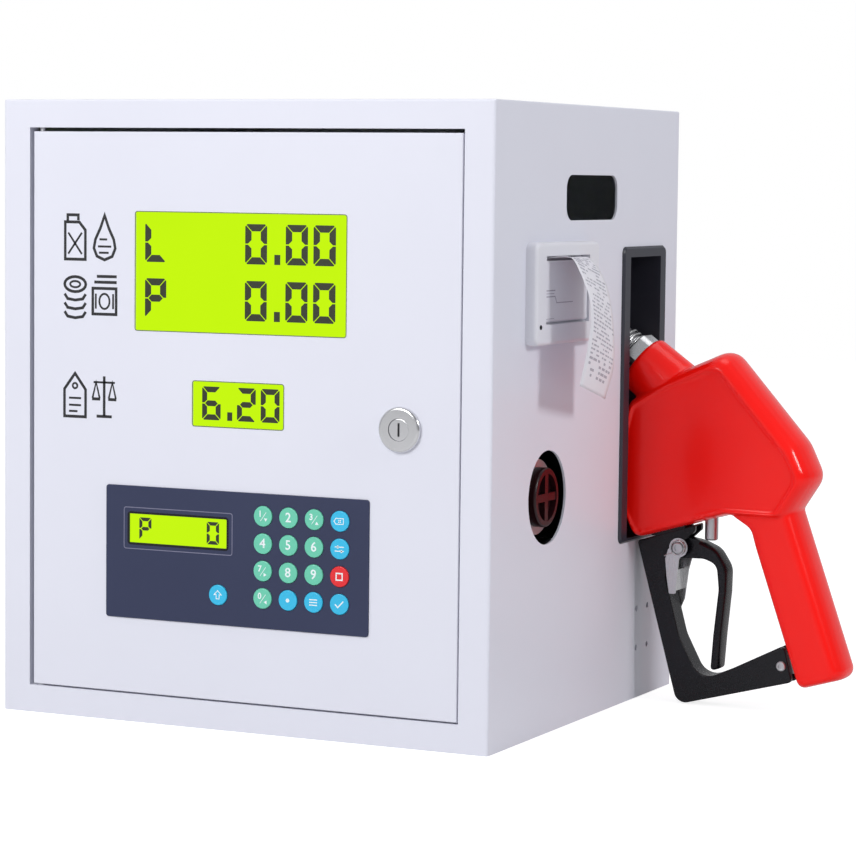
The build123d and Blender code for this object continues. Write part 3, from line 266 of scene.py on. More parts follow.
# Floor, backdrop and lights.
def makeStudio():
    studio = dict(size=8.0, floorTone=(0.42, 0.42, 0.425), floorGlow=0.22, floorShown=0.60,
                  sky=(0.96, 0.97, 1.0), front=0.56, right=0.24, target=(0.05, 0, 0.2))
    mesh = bpy.data.meshes.new("studioFloor")
    half = studio["size"] / 2
    corners = [(-half, -half, 0), (half, -half, 0), (half, half, 0), (-half, half, 0)]
    mesh.from_pydata(corners, [], [(0, 1, 2, 3)])
    floor = bpy.data.objects.new("studioFloor", mesh)
    bpy.context.scene.collection.objects.link(floor)
    f = Finish("paleFloor")
    seen = f.add("LightPath") * studio["floorShown"]  # paler to the camera than the light it throws back
    f.setUp(Base_Color=studio["floorTone"], Roughness=f.noise(3, 2) * 0.1 + 0.6, Specular_IOR_Level=0.1,
            Emission_Color=(1, 1, 1), Emission_Strength=seen + studio["floorGlow"])
    floor.data.materials.append(f.material)
    world = bpy.data.worlds.new("studioSky")
    world.use_nodes = True
    tree = world.node_tree
    background = tree.nodes["Background"]
    background.inputs["Color"].default_value = (*studio["sky"], 1)
    direction = tree.nodes.new("ShaderNodeTexCoord")
    split = tree.nodes.new("ShaderNodeSeparateXYZ")
    darker = tree.nodes.new("ShaderNodeMapRange")  # the sky dims towards the right
    tree.links.new(direction.outputs["Generated"], split.inputs[0])
    tree.links.new(split.outputs["X"], darker.inputs["Value"])
    darker.inputs["From Min"].default_value = 0.0
    darker.inputs["To Min"].default_value = studio["front"]
    darker.inputs["To Max"].default_value = studio["right"]
    tree.links.new(darker.outputs[0], background.inputs["Strength"])
    white = tree.nodes.new("ShaderNodeBackground")  # what the camera sees behind the part
    white.inputs["Color"].default_value = (1, 1, 1, 1)
    path = tree.nodes.new("ShaderNodeLightPath")
    mixed = tree.nodes.new("ShaderNodeMixShader")
    tree.links.new(path.outputs["Is Camera Ray"], mixed.inputs[0])
    tree.links.new(background.outputs[0], mixed.inputs[1])
    tree.links.new(white.outputs[0], mixed.inputs[2])
    tree.links.new(mixed.outputs[0], tree.nodes["World Output"].inputs["Surface"])
    bpy.context.scene.world = world
    bpy.context.scene.view_settings.view_transform = "Standard"
    softboxes = {
        "keySoftbox": dict(place=(-0.5, -2.0, 1.35), size=1.3, power=33),
        "sideSoftbox": dict(place=(2.3, -0.2, 1.35), size=0.5, power=22),
        "topSoftbox": dict(place=(0.5, 0.5, 1.9), size=0.9, power=4),
    }
    for name, box in softboxes.items():
        light = bpy.data.lights.new(name, "AREA")
        light.shape = "SQUARE"
        light.size = box["size"]
        light.energy = box["power"]
        lamp = bpy.data.objects.new(name, light)
        lamp.location = box["place"]
        lamp.rotation_euler = (Vector(studio["target"]) - lamp.location).to_track_quat("-Z", "Y").to_euler()
        bpy.context.scene.collection.objects.link(lamp)


makeStudio()
print("studio ready")


# Mesh helpers.
def newPiece(name, points, faces, finish, body, slot, smooth=False):
    mesh = bpy.data.meshes.new(name)
    mesh.from_pydata([tuple(point) for point in points], [], faces)
    mesh.validate()
    build = bmesh.new()
    build.from_mesh(mesh)
    bmesh.ops.recalc_face_normals(build, faces=build.faces)
    build.to_mesh(mesh)
    build.free()
    return settle(bpy.data.objects.new(name, mesh), finish, body, smooth)


def settle(piece, finish, body, smooth=False):
    piece.data.materials.clear()
    piece.data.materials.append(finish)
    piece.data.shade_smooth() if smooth else piece.data.shade_flat()
    if not piece.users_collection:
        bpy.context.scene.collection.objects.link(piece)
    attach(piece, body)
    return piece


def roundedOutline(corners, radii, steps=6):
    outline = []
    for index, corner in enumerate(corners):
        here = Vector(corner)
        back = (Vector(corners[index - 1]) - here)
        onward = (Vector(corners[(index + 1) % len(corners)]) - here)
        half = back.angle(onward) / 2
        reach = min(radii[index] / math.tan(half), 0.48 * back.length, 0.48 * onward.length)
        radius = reach * math.tan(half)
        start = here + back.normalized() * reach
        end = here + onward.normalized() * reach
        centre = here + (back.normalized() + onward.normalized()).normalized() * math.hypot(reach, radius)
        first = start - centre
        sweep = first.angle_signed(end - centre)  # clockwise is positive in mathutils
        for step in range(steps + 1):
            outline.append(centre + Matrix.Rotation(-sweep * step / steps, 2) @ first)
    return outline


def fullTurn(steps):
    return [2 * math.pi * i / steps for i in range(steps)]


def insetCorners(corners, insets):
    moved = []
    count = len(corners)
    area = sum(a[0] * b[1] - b[0] * a[1] for a, b in zip(corners, corners[1:] + corners[:1]))
    inward = 1 if area > 0 else -1
    for index in range(count):
        lines = []
        for edge in (index - 1, index):
            a = Vector(corners[edge])
            b = Vector(corners[(edge + 1) % count])
            way = (b - a).normalized()
            side = Vector((-way.y, way.x)) * inward
            lines.append((a + side * insets[edge], way))
        (p, u), (q, w) = lines
        cross = u.x * w.y - u.y * w.x
        share = ((q - p).x * w.y - (q - p).y * w.x) / cross
        moved.append(p + u * share)
    return moved


def loft(rings):
    points = [point for ring in rings for point in ring]
    size = len(rings[0])
    faces = [tuple(reversed(range(size))), tuple(range(len(points) - size, len(points)))]
    for layer in range(len(rings) - 1):
        for i in range(size):
            j = (i + 1) % size
            low = layer * size
            faces.append((low + i, low + j, low + size + j, low + size + i))
    return points, faces


class Marks:  # raised printed shapes on an upright surface, drawn in millimetres across and up
    def __init__(self, origin, height, across=(1, 0, 0), out=(0, -1, 0)):
        self.origin = Vector(origin)
        self.across = Vector(across) * mm
        self.upward = Vector((0, 0, 1)) * mm
        self.out = Vector(out) * height * mm
        self.points = []
        self.faces = []

    def at(self, u, v, raised):
        return self.origin + self.across * u + self.upward * v + (self.out if raised else Vector())

    def plate(self, outline):
        first = len(self.points)
        size = len(outline)
        for raised in (False, True):
            self.points += [self.at(u, v, raised) for u, v in outline]
        self.faces += [tuple(first + i for i in range(size)), tuple(first + size + i for i in range(size))]
        for i in range(size):
            j = (i + 1) % size
            self.faces.append((first + i, first + j, first + size + j, first + size + i))

    mitre = 0.4  # least share of a sharp corner's mitre

    def ribbon(self, path, width, closed=False):
        first = len(self.points)
        count = len(path)
        for index in range(count):
            here = Vector(path[index])
            before = Vector(path[index - 1]) if index or closed else None
            after = Vector(path[(index + 1) % count]) if index < count - 1 or closed else None
            ways = []
            if before is not None:
                ways.append((here - before).normalized())
            if after is not None:
                ways.append((after - here).normalized())
            along = sum(ways, Vector((0, 0))).normalized()
            side = Vector((-along.y, along.x)) * (width / 2 / max(along.dot(ways[0]), self.mitre))
            for raised in (False, True):
                for edge in (here + side, here - side):
                    self.points.append(self.at(edge.x, edge.y, raised))
        for index in range(count if closed else count - 1):
            a = first + 4 * index
            b = first + 4 * ((index + 1) % count)
            self.faces += [(a, a + 1, b + 1, b), (a + 2, a + 3, b + 3, b + 2), (a, a + 2, b + 2, b),
                           (a + 1, a + 3, b + 3, b + 1)]
        if not closed:
            last = first + 4 * (count - 1)
            self.faces += [(first, first + 1, first + 3, first + 2), (last, last + 1, last + 3, last + 2)]

    def ring(self, centre, radii, width, turns=20):
        self.ribbon([(centre[0] + radii[0] * math.cos(a), centre[1] + radii[1] * math.sin(a))
                     for a in fullTurn(turns)], width, True)

    def frameRound(self, window, away, corner, width):
        left, top, right, bottom = (edge / mm for edge in window[:4])
        corners = [(left - away, bottom - away), (right + away, bottom - away), (right + away, top + away),
                   (left - away, top + away)]
        self.ribbon([tuple(point) for point in roundedOutline(corners, [corner] * 4, 4)], width, True)

    def piece(self, name, finish, body, slot):
        return newPiece(name, self.points, self.faces, finish, body, slot)


def islands(node):  # boxes of a node's separate solids, largest first
    mesh = frame["nodes"][node].data
    build = bmesh.new()
    build.from_mesh(mesh)
    bmesh.ops.remove_doubles(build, verts=build.verts, dist=0.00001)
    left = set(build.verts)
    boxes = []
    while left:
        queue = [left.pop()]
        found = []
        while queue:
            vertex = queue.pop()
            found.append(tuple(vertex.co))
            for edge in vertex.link_edges:
                other = edge.other_vert(vertex)
                if other in left:
                    left.remove(other)
                    queue.append(other)
        cloud = np.array(found)
        boxes.append((cloud.min(0), cloud.max(0)))
    build.free()
    return sorted(boxes, key=lambda pair: -float(np.prod(pair[1] - pair[0])))


# The nozzle's red cover: crowned body, rounded grip and round nose, moulded as one skin.
nozzle = dict(
    pivotAt=(28.2, 101.0),  # lever pivot, in the outlines' own millimetres
    body=[(30, 221.5), (61, 235), (113.5, 175.5), (124.5, 152), (107, 124.5), (64, 125), (-1, 106.1), (-13, 132),
          (-13, 172), (-7, 200)],
    bodyRadii=[8, 10, 26, 12, 6, 8, 5, 15, 20, 6],
    bodyShoulder=[8, 10, 9, 8, 3.5, 3.5, 3.5, 5, 5, 6],  # how far each edge falls back at the side faces
    # share of the shoulder, half width
    bodyLayers=[(1.15, 21.5), (1.0, 23), (0.80, 22.6), (0.45, 19.5), (0.22, 15), (0.06, 8.5), (0, 3)],
    grip=[(115.5, 11.5), (148.7, 21.3), (110, 131.5), (95, 158), (72, 150), (66, 125.5), (80, 117),
          (85.5, 98)],
    gripRadii=[5, 6, 12, 6, 6, 5, 10, 24],
    gripShoulder=[3, 8, 8, 3, 3, 3, 4, 5],
    gripLayers=[(1.0, 19), (0.72, 18.6), (0.42, 16.5), (0.17, 12.5), (0.04, 7.5), (0, 2.5)],
    noseCentre=(-2.0, 223.5), noseRise=37.0, noseRadius=20.0, noseFlare=1.0, noseLength=42.0, noseLip=2.5,
    noseRim=[(2.2, 0), (0.6, 0.7), (0, 2.4)],  # behind the nose's end, off its radius
    # guard's lug, stem and ear
    cuts=[(7.6, 32.4, 9.1, 94, 124.4), (40, 56, 9.1, 94, 140), (97, 117, 4.4, 14, 44)],
    voxel=1.1, smoothing=6)


def nozzleOrigin():
    joint = next(j for j in frame["joints"] if j["name"] == "lever_squeeze")
    x, y, z = joint["pos_m"]
    return Vector((x - nozzle["pivotAt"][0] * mm, y, z - nozzle["pivotAt"][1] * mm))


def crownedBar(corners, radii, shoulder, layers, origin, steps=6):
    rings = []
    ordered = [(share, -half) for share, half in layers]
    ordered += [(share, half) for share, half in reversed(layers)]
    for share, offset in ordered:
        outline = roundedOutline(insetCorners(corners, [inset * share for inset in shoulder]), radii, steps)
        rings.append([origin + Vector((point.x, offset, point.y)) * mm for point in outline])
    return loft(rings)


def roundBar(centre, way, sections, origin, turns=64):
    along = Vector((way[0], 0, way[1]))
    sideways = Vector((0, 1, 0))
    upright = along.cross(sideways)
    rings = []
    for distance, radius in sections:
        middle = origin + (Vector((centre[0], 0, centre[1])) + along * distance) * mm
        rings.append([middle + (sideways * math.cos(a) + upright * math.sin(a)) * radius * mm
                      for a in fullTurn(turns)])
    return loft(rings)


def joined(name, solids):
    points = []
    faces = []
    for solidPoints, solidFaces in solids:
        first = len(points)
        points += solidPoints
        faces += [tuple(first + i for i in face) for face in solidFaces]
    mesh = bpy.data.meshes.new(name)
    mesh.from_pydata([tuple(point) for point in points], [], faces)
    build = bmesh.new()
    build.from_mesh(mesh)
    bmesh.ops.recalc_face_normals(build, faces=build.faces)
    build.to_mesh(mesh)
    build.free()
    item = bpy.data.objects.new(name, mesh)
    bpy.context.scene.collection.objects.link(item)
    return item


def applied(item, *modifiers):  # the object with its modifiers made real
    for kind, settings in modifiers:
        modifier = item.modifiers.new(kind.lower(), kind)
        for key, value in settings.items():
            setattr(modifier, key, value)
    graph = bpy.context.evaluated_depsgraph_get()
    mesh = bpy.data.meshes.new_from_object(item.evaluated_get(graph))
    item.modifiers.clear()
    item.data = mesh
    return item


def cutWith(item, name, rings, operation="DIFFERENCE"):
    tool = joined(name, [loft(rings)])
    applied(item, ("BOOLEAN", {"operation": operation, "object": tool, "solver": "EXACT"}))
    bpy.data.objects.remove(tool)


def blockRings(origin, x0, x1, z0, z1, sides):
    corners = [(x0, z0), (x1, z0), (x1, z1), (x0, z1)]
    return [[origin + Vector((x, y, z)) * mm for x, z in corners] for y in sides]


def makeNozzleCover():
    origin = nozzleOrigin()
    rise = math.radians(nozzle["noseRise"])
    spoutWay = (-math.cos(rise), math.sin(rise))
    radius = nozzle["noseRadius"]
    nose = [(-nozzle["noseLength"], radius + nozzle["noseFlare"])]
    nose += [(nozzle["noseLip"] - behind, radius - less) for behind, less in nozzle["noseRim"]]
    solids = [crownedBar(*(nozzle[part + key] for key in ("", "Radii", "Shoulder", "Layers")), origin)
              for part in ("body", "grip")]
    solids.append(roundBar(nozzle["noseCentre"], spoutWay, nose, origin))
    cover = applied(joined("nozzleCover", solids),
                    ("REMESH", {"mode": "VOXEL", "voxel_size": nozzle["voxel"] * mm}),
                    ("SMOOTH", {"factor": 0.5, "iterations": nozzle["smoothing"]}))
    for x0, x1, half, z0, z1 in nozzle["cuts"]:
        cutWith(cover, "coverCutter", blockRings(origin, x0, x1, z0, z1, (-half, half)))
    settle(cover, finishes["cover_vinyl"], "nozzle", True)
    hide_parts("nozzle_cover")


makeNozzleCover()
print("nozzle cover moulded")


# Bolts of the nozzle: round heads with hexagon sockets.
def makeBolts():
    origin = nozzleOrigin()
    heads = dict(pivotBolt=dict(at=nozzle["pivotAt"], head=3.9, reach=10.65, rise=2.1),
                 guardBolt=dict(at=(102.0, 26.0), head=3.4, reach=8.75, rise=1.6))
    shape = dict(shank=2.5, socket=0.55, socketMouth=1.08, socketDepth=1.1, crown=0.8, brow=0.96,
                 browDrop=0.5, skirt=0.3, core=0.02, turns=36)
    sixth = math.pi / 3
    solids = []
    for bolt in heads.values():
        centre = origin + Vector((bolt["at"][0], 0, bolt["at"][1])) * mm
        head, reach = bolt["head"], bolt["reach"]
        socket = shape["socket"] * head
        mouth = socket * shape["socketMouth"]
        tip = reach + bolt["rise"]
        floor = tip - shape["socketDepth"]
        profile = [(floor, shape["core"]), (floor, socket), (tip, mouth), (tip, head * shape["crown"]),
                   (tip - shape["browDrop"], head * shape["brow"]), (reach + shape["skirt"], head),
                   (reach, head), (reach, shape["shank"])]
        rings = []
        for y, r in [(-y, r) for y, r in profile] + list(reversed(profile)):
            ring = []
            for a in fullTurn(shape["turns"]):
                flat = math.cos(sixth / 2) / math.cos(a % sixth - sixth / 2) if r <= mouth else 1
                ring.append(centre + Vector((r * flat * math.cos(a), y, r * flat * math.sin(a))) * mm)
            rings.append(ring)
        solids.append(loft(rings))
    bolts = joined("nozzleBolts", solids)
    settle(bolts, finishes["zinc_screws"], "nozzle")
    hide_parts("nozzle_pins")


makeBolts()


# Lever: a rounded bar with a narrow eye on the pivot.
lever = dict(points=[(28.2, 108.5), (42, 106), (54, 101), (62, 88.5), (61.6, 72), (58.8, 43), (57.1, 20.2),
                     (50.8, 18.2), (52.5, 43), (55.7, 74), (54, 90.5), (45, 93.8), (28.2, 93.5)],
             radii=[1, 16, 14, 14, 30, 60, 2, 2, 60, 20, 10, 12, 1], shoulder=1.9,
             layers=[(1.0, 8.1), (0.45, 7.4), (0.15, 6.2), (0, 4)], eyeRadius=7.4, eyeHalf=4.4,
             eyeBlock=(20, 42, 80, 116), clear=12, boreRadius=2.6, turns=40)


def makeLever():
    origin = nozzleOrigin()
    shoulder = [lever["shoulder"]] * len(lever["points"])
    bar = crownedBar(lever["points"], lever["radii"], shoulder, lever["layers"], origin, 8)
    grip = joined("squeezeLever", [bar])
    for side in (-1, 1):
        ends = sorted((side * lever["eyeHalf"], side * lever["clear"]))
        cutWith(grip, "leverCutter", blockRings(origin, *lever["eyeBlock"], ends))
    x, z = nozzle["pivotAt"]
    for half, radius, operation in ((lever["eyeHalf"], lever["eyeRadius"], "UNION"),
                                    (lever["clear"], lever["boreRadius"], "DIFFERENCE")):
        rings = [[origin + Vector((x + radius * math.cos(a), y, z + radius * math.sin(a))) * mm
                  for a in fullTurn(lever["turns"])] for y in (-half, half)]
        cutWith(grip, "leverEye", rings, operation)
    settle(grip, finishes["guard_plastic"], "nozzle_lever")
    grip.data.set_sharp_from_angle(angle=math.radians(32))
    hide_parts("lever")


makeLever()


def wireCurve(name, paths, radius, finish, body):
    curve = bpy.data.curves.new(name, "CURVE")
    curve.dimensions = "3D"
    curve.bevel_depth = radius
    curve.bevel_resolution = 3
    curve.use_fill_caps = True
    for path in paths:
        spline = curve.splines.new("NURBS")
        spline.points.add(len(path) - 1)
        for point, place in zip(spline.points, path):
            point.co = (*place, 1)
        spline.order_u = 3
        spline.use_endpoint_u = True
        spline.resolution_u = 6
    wire = bpy.data.objects.new(name, curve)
    mesh = bpy.data.meshes.new_from_object(wire)
    bpy.data.objects.remove(wire)
    return settle(bpy.data.objects.new(name, mesh), finish, body, True)


def makeClipSpring():
    spring = dict(radius=4.9, side=-10.9, climb=1.6128, turns=2.4, steps=40, wire=0.38,
                  leg=[(18.5, -11.2, 95.0), (21.5, -11.2, 96.4), (24.2, -11.1, 97.1)])
    origin = nozzleOrigin()
    x, z = nozzle["pivotAt"]
    coil = []
    for i in range(spring["steps"]):
        a = 2 * math.pi * spring["turns"] * i / (spring["steps"] - 1)
        y = spring["side"] - spring["climb"] * i / spring["steps"]
        r = spring["radius"]
        coil.append(origin + Vector((x + r * math.cos(a), y, z + r * math.sin(a))) * mm)
    leg = [origin + Vector(place) * mm for place in spring["leg"]]
    wireCurve("clipSpring", [coil, leg], spring["wire"] * mm, finishes["stainless"], "nozzle")


makeClipSpring()


# Printed and lit shapes of the door.
def segments(width, height, stroke, gap=0.5):
    slant = gap / math.sqrt(2)
    cut = 0.34 * stroke  # off the outer corners
    near = (cut + slant) / 2
    far = (cut - slant) / 2
    middle = height / 2
    right = width - stroke - slant
    a = [(near, -far), (cut, 0), (width - cut, 0), (width - near, -far), (right, -stroke), (stroke + slant, -stroke)]
    f = [(0, -cut), (far, -near), (stroke, -stroke - slant), (stroke, -middle + 0.5 * stroke + slant),
         (0.45 * stroke, -middle + slant), (0, -middle + slant)]
    g = [(0.45 * stroke + gap, -middle), (stroke + slant, -middle + 0.5 * stroke), (right, -middle + 0.5 * stroke),
         (width - 0.45 * stroke - gap, -middle), (right, -middle - 0.5 * stroke),
         (stroke + slant, -middle - 0.5 * stroke)]

    def mirrored(shape):
        return [(width - x, z) for x, z in shape]

    def lowered(shape):
        return [(x, -height - z) for x, z in shape]

    return dict(a=a, b=mirrored(f), c=mirrored(lowered(f)), d=lowered(a), e=lowered(f), f=f, g=g)


glyphs = dict(L="def", P="abefg", zero="abcdef", two="abdeg", six="acdefg")
displays = [
    dict(window=0, top=6.6, stroke=4.5, cell=(15.6, 25.2), dots=[100.2],
         signs=[("L", 6.8), ("zero", 79.4), ("zero", 108.2), ("zero", 127.7)]),
    dict(window=0, top=42.2, stroke=4.5, cell=(15.6, 25.2), dots=[100.2],
         signs=[("P", 6.8), ("zero", 79.4), ("zero", 108.2), ("zero", 127.7)]),
    dict(window=1, top=3.1, stroke=3.6, cell=(13.4, 21.2), dots=[24.8],
         signs=[("six", 6.6), ("two", 31.8), ("zero", 48.8)]),
    dict(window=2, top=2.2, stroke=2.3, cell=(9.0, 14.4), dots=[], signs=[("P", 7.0), ("zero", 56.6)]),
]
windowBorder = (4.0, 4.0, 2.0)  # of each lens behind its window: main, price, keypad
dotShape = dict(width=0.27, height=0.405)  # shares of a digit's width
inkHeight = 0.04


def makeDisplays():
    ink = printInk("displayInk", (0.012, 0.016, 0.004), (0.02, 0.026, 0.006), 0.35, 1500)
    lenses = islands("display_lenses")
    lenses.sort(key=lambda pair: -(pair[1][0] - pair[0][0]) * (pair[1][2] - pair[0][2]))
    pad, price = sorted(lenses[1:], key=lambda pair: pair[0][2])
    windows = []
    for (low, high), border in zip((lenses[0], price, pad), windowBorder):
        edge = border * mm
        windows.append((low[0] + edge, high[2] - edge, high[0] - edge, low[2] + edge, low[1]))
    for number, show in enumerate(displays):
        left, top, right, bottom, face = windows[show["window"]]
        marks = Marks((left, face, top), inkHeight)
        width, height = show["cell"]
        shapes = segments(width, height, show["stroke"])
        for sign, start in show["signs"]:
            for letter in glyphs[sign]:
                marks.plate([(start + x, z - show["top"]) for x, z in shapes[letter]])
        for dot in show["dots"]:
            low = -show["top"] - height
            high = low + dotShape["height"] * width
            end = dot + dotShape["width"] * width
            marks.plate([(dot, low), (end, low), (end, high), (dot, high)])
        marks.piece("displayDigits%d" % number, ink, "door", "lcd")
    return windows


windows = makeDisplays()
print("displays lit")


def makeWindowDarkLine():
    # A thin dark line drawn on the door face round the main and price windows.
    trim = dict(width=0.55, overlap=0.1, corner=1.6, height=0.12)
    ink = printInk("windowDarkLine", (0.10, 0.13, 0.05), (0.14, 0.18, 0.07))
    marks = Marks((0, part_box("door_panel")[0].y, 0), trim["height"])
    for window in windows[:2]:
        marks.frameRound(window, trim["width"] / 2 - trim["overlap"], trim["corner"], trim["width"])
    marks.piece("windowDarkLine", ink, "door", "display_glass")


makeWindowDarkLine()


def makeDoorSigns():  # plain signs beside the displays: can and drop, coins and note, tag and scale
    signs = dict(columns=(-130.0, -108.0), cell=(19.0, 28.5), rows=(297.5, 259.2, 195.9), thick=1.9,
                 thin=1.35, height=0.06)
    ink = printInk("signInk", (0.006, 0.006, 0.008), (0.012, 0.012, 0.016), scale=1200, detail=3, spread=0.15)
    marks = Marks((0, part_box("door_panel")[0].y, 0), signs["height"])

    def draw(column, row, strokes):
        left = signs["columns"][column]
        low = signs["rows"][row]
        w, h = signs["cell"]
        for kind, weight, data in strokes:
            if kind == "ring":
                (x, z), (rx, rz) = data
                marks.ring((left + x * w, low + z * h), (rx * w, rz * h), signs[weight])
            else:
                marks.ribbon([(left + x * w, low + z * h) for x, z in data], signs[weight], kind == "loop")

    draw(0, 0, [("loop", "thick", [(0.1, 0), (0.9, 0), (0.9, 0.66), (0.66, 0.84), (0.1, 0.84)]),
                ("line", "thin", [(0.22, 0.12), (0.76, 0.6)]), ("line", "thin", [(0.22, 0.6), (0.76, 0.12)]),
                ("line", "thick", [(0.2, 0.86), (0.2, 1.0), (0.62, 1.0), (0.62, 0.88)])])
    drop = [(0.5, 1.0), (0.66, 0.72), (0.86, 0.46), (0.92, 0.26), (0.8, 0.08), (0.5, 0.0), (0.2, 0.08),
            (0.08, 0.26), (0.14, 0.46), (0.34, 0.72)]
    draw(1, 0, [("loop", "thick", drop), ("line", "thin", [(0.24, 0.3), (0.76, 0.3)]),
                ("line", "thin", [(0.3, 0.46), (0.6, 0.46)]), ("line", "thin", [(0.28, 0.16), (0.66, 0.16)])])
    draw(0, 1, [("ring", "thick", ((0.5, 0.78), (0.42, 0.17))), ("ring", "thin", ((0.5, 0.78), (0.2, 0.07)))]
         + [("line", "thick", [(0.08, z + 0.14), (0.2, z + 0.03), (0.5, z), (0.8, z + 0.03), (0.92, z + 0.14)])
            for z in (0.42, 0.22, 0.02)])
    draw(1, 1, [("loop", "thick", [(0.04, 0.12), (0.96, 0.12), (0.96, 0.7), (0.04, 0.7)]),
                ("ring", "thin", ((0.5, 0.41), (0.2, 0.17))), ("line", "thin", [(0.16, 0.24), (0.16, 0.58)]),
                ("line", "thin", [(0.84, 0.24), (0.84, 0.58)]), ("line", "thick", [(0.1, 0.84), (0.98, 0.84)]),
                ("line", "thick", [(0.2, 0.97), (0.98, 0.97)])])
    draw(0, 2, [("loop", "thick", [(0.08, 0.0), (0.92, 0.0), (0.92, 0.62), (0.5, 0.98), (0.08, 0.62)]),
                ("ring", "thin", ((0.5, 0.7), (0.09, 0.06))), ("line", "thin", [(0.26, 0.42), (0.74, 0.42)]),
                ("line", "thin", [(0.26, 0.26), (0.74, 0.26)]), ("line", "thin", [(0.26, 0.12), (0.6, 0.12)])])
    draw(1, 2, [("line", "thick", [(0.5, 0.04), (0.5, 0.94)]),
                ("line", "thick", [(0.2, 0.03), (0.8, 0.03)]),
                ("line", "thin", [(0.08, 0.8), (0.92, 0.8)]),
                ("line", "thin", [(0.04, 0.44), (0.18, 0.8), (0.32, 0.44)]),
                ("line", "thin", [(0.68, 0.44), (0.82, 0.8), (0.96, 0.44)]),
                ("line", "thick", [(0.02, 0.42), (0.34, 0.42)]),
                ("line", "thick", [(0.66, 0.42), (0.98, 0.42)])])
    marks.piece("doorSigns", ink, "door", "cabinet_paint")


makeDoorSigns()
print("door signs drawn")


def makePadTrim():  # pale outline and dark bezel round the keypad's display
    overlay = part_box("keypad_overlay")[0].y
    line = printInk("padOutline", (0.17, 0.17, 0.26), (0.21, 0.21, 0.31))
    for name, away, width, finish, height in (("padOutline", 4.0, 0.5, line, 0.05),
                                              ("padBezel", 0.7, 1.4, finishes["guard_plastic"], 0.12)):
        marks = Marks((0, overlay, 0), height)
        marks.frameRound(windows[2], away, 1.4, width)
        marks.piece(name, finish, "door", "overlay_film")


makePadTrim()


def digitMesh(digit, size, place):
    text = bpy.data.curves.new("legendText", "FONT")
    text.body = digit
    text.align_x = "CENTER"
    text.align_y = "CENTER"
    text.size = size * mm
    text.offset = legend["bold"] * mm
    text.extrude = legend["height"] / 2 * mm
    text.resolution_u = 3
    holder = bpy.data.objects.new("legendText", text)
    mesh = bpy.data.meshes.new_from_object(holder)
    bpy.data.objects.remove(holder)
    mesh.transform(Matrix.Translation(place) @ Matrix.Rotation(math.pi / 2, 4, "X"))
    return mesh


legend = dict(
    height=0.05, bold=0.12, size=8.4, smallSize=5.4, smallShift=(-1.9, 1.4), slash=[(2.4, 2.6), (-1.6, -3.0)],
    slashWidth=0.35, point=1.25,
    arrows=dict(key_1=[(0.8, -1.2), (3.4, -1.2), (2.1, -3.2)], key_3=[(0.8, -3.1), (3.4, -3.1), (2.1, -1.1)],
                key_7=[(0.9, -1.0), (0.9, -3.4), (3.1, -2.2)], key_0=[(3.2, -1.0), (3.2, -3.4), (1.0, -2.2)]),
    signs=dict(  # path, closed, width
        key_clear=[([(-2.6, 1.8), (2.6, 1.8), (2.6, -1.8), (-2.6, -1.8), (-4.0, 0)], True, 0.5),
                   ([(-0.9, 0.9), (0.9, -0.9)], False, 0.5), ([(-0.9, -0.9), (0.9, 0.9)], False, 0.5)],
        key_set=[([(-3.2, 1.3), (3.2, 1.3)], False, 0.6), ([(-3.2, -1.3), (3.2, -1.3)], False, 0.6),
                 ([(-1.2, 2.3), (-1.2, 0.4)], False, 1.0), ([(1.4, -0.4), (1.4, -2.3)], False, 1.0)],
        key_stop=[([(-2.1, 2.1), (2.1, 2.1), (2.1, -2.1), (-2.1, -2.1)], True, 0.8)],
        key_enter=[([(-2.8, 0.0), (-0.8, -2.0), (3.0, 2.0)], False, 0.8)],
        key_menu=[([(-2.8, v), (2.8, v)], False, 0.65) for v in (-1.7, 0, 1.7)],
        key_shift=[([(0, 2.8), (2.6, 0.2), (1.1, 0.2), (1.1, -2.4), (-1.1, -2.4), (-1.1, 0.2), (-2.6, 0.2)],
                    True, 0.5)]))


def makeKeyLegends():
    ink = printInk("legendWhite", (0.72, 0.80, 0.82), (0.85, 0.92, 0.94))
    for key in [name for name in frame["nodes"] if name.startswith("key_")]:
        low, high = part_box(key)
        centre = Vector(((low.x + high.x) / 2, low.y, (low.z + high.z) / 2))
        marks = Marks(centre, legend["height"])
        sign = key[4:]
        small = key in legend["arrows"]
        if key == "key_point":
            r = legend["point"]
            marks.plate([(r * math.cos(a), r * math.sin(a)) for a in fullTurn(24)])
        for path, closed, width in legend["signs"].get(key, []):
            marks.ribbon(path, width, closed)
        if small:
            marks.plate(legend["arrows"][key])
            marks.ribbon(legend["slash"], legend["slashWidth"])
        if sign.isdigit():
            x, z = legend["smallShift"] if small else (0, 0)
            place = centre + Vector((x, -legend["height"] / 2, z)) * mm
            mesh = digitMesh(sign, legend["smallSize"] if small else legend["size"], place)
            first = len(marks.points)
            marks.points += [vertex.co.copy() for vertex in mesh.vertices]
            marks.faces += [tuple(first + i for i in polygon.vertices) for polygon in mesh.polygons]
        marks.piece("legend_" + sign, ink, key + "_cap", slotOf[key])


makeKeyLegends()
print("key legends drawn")
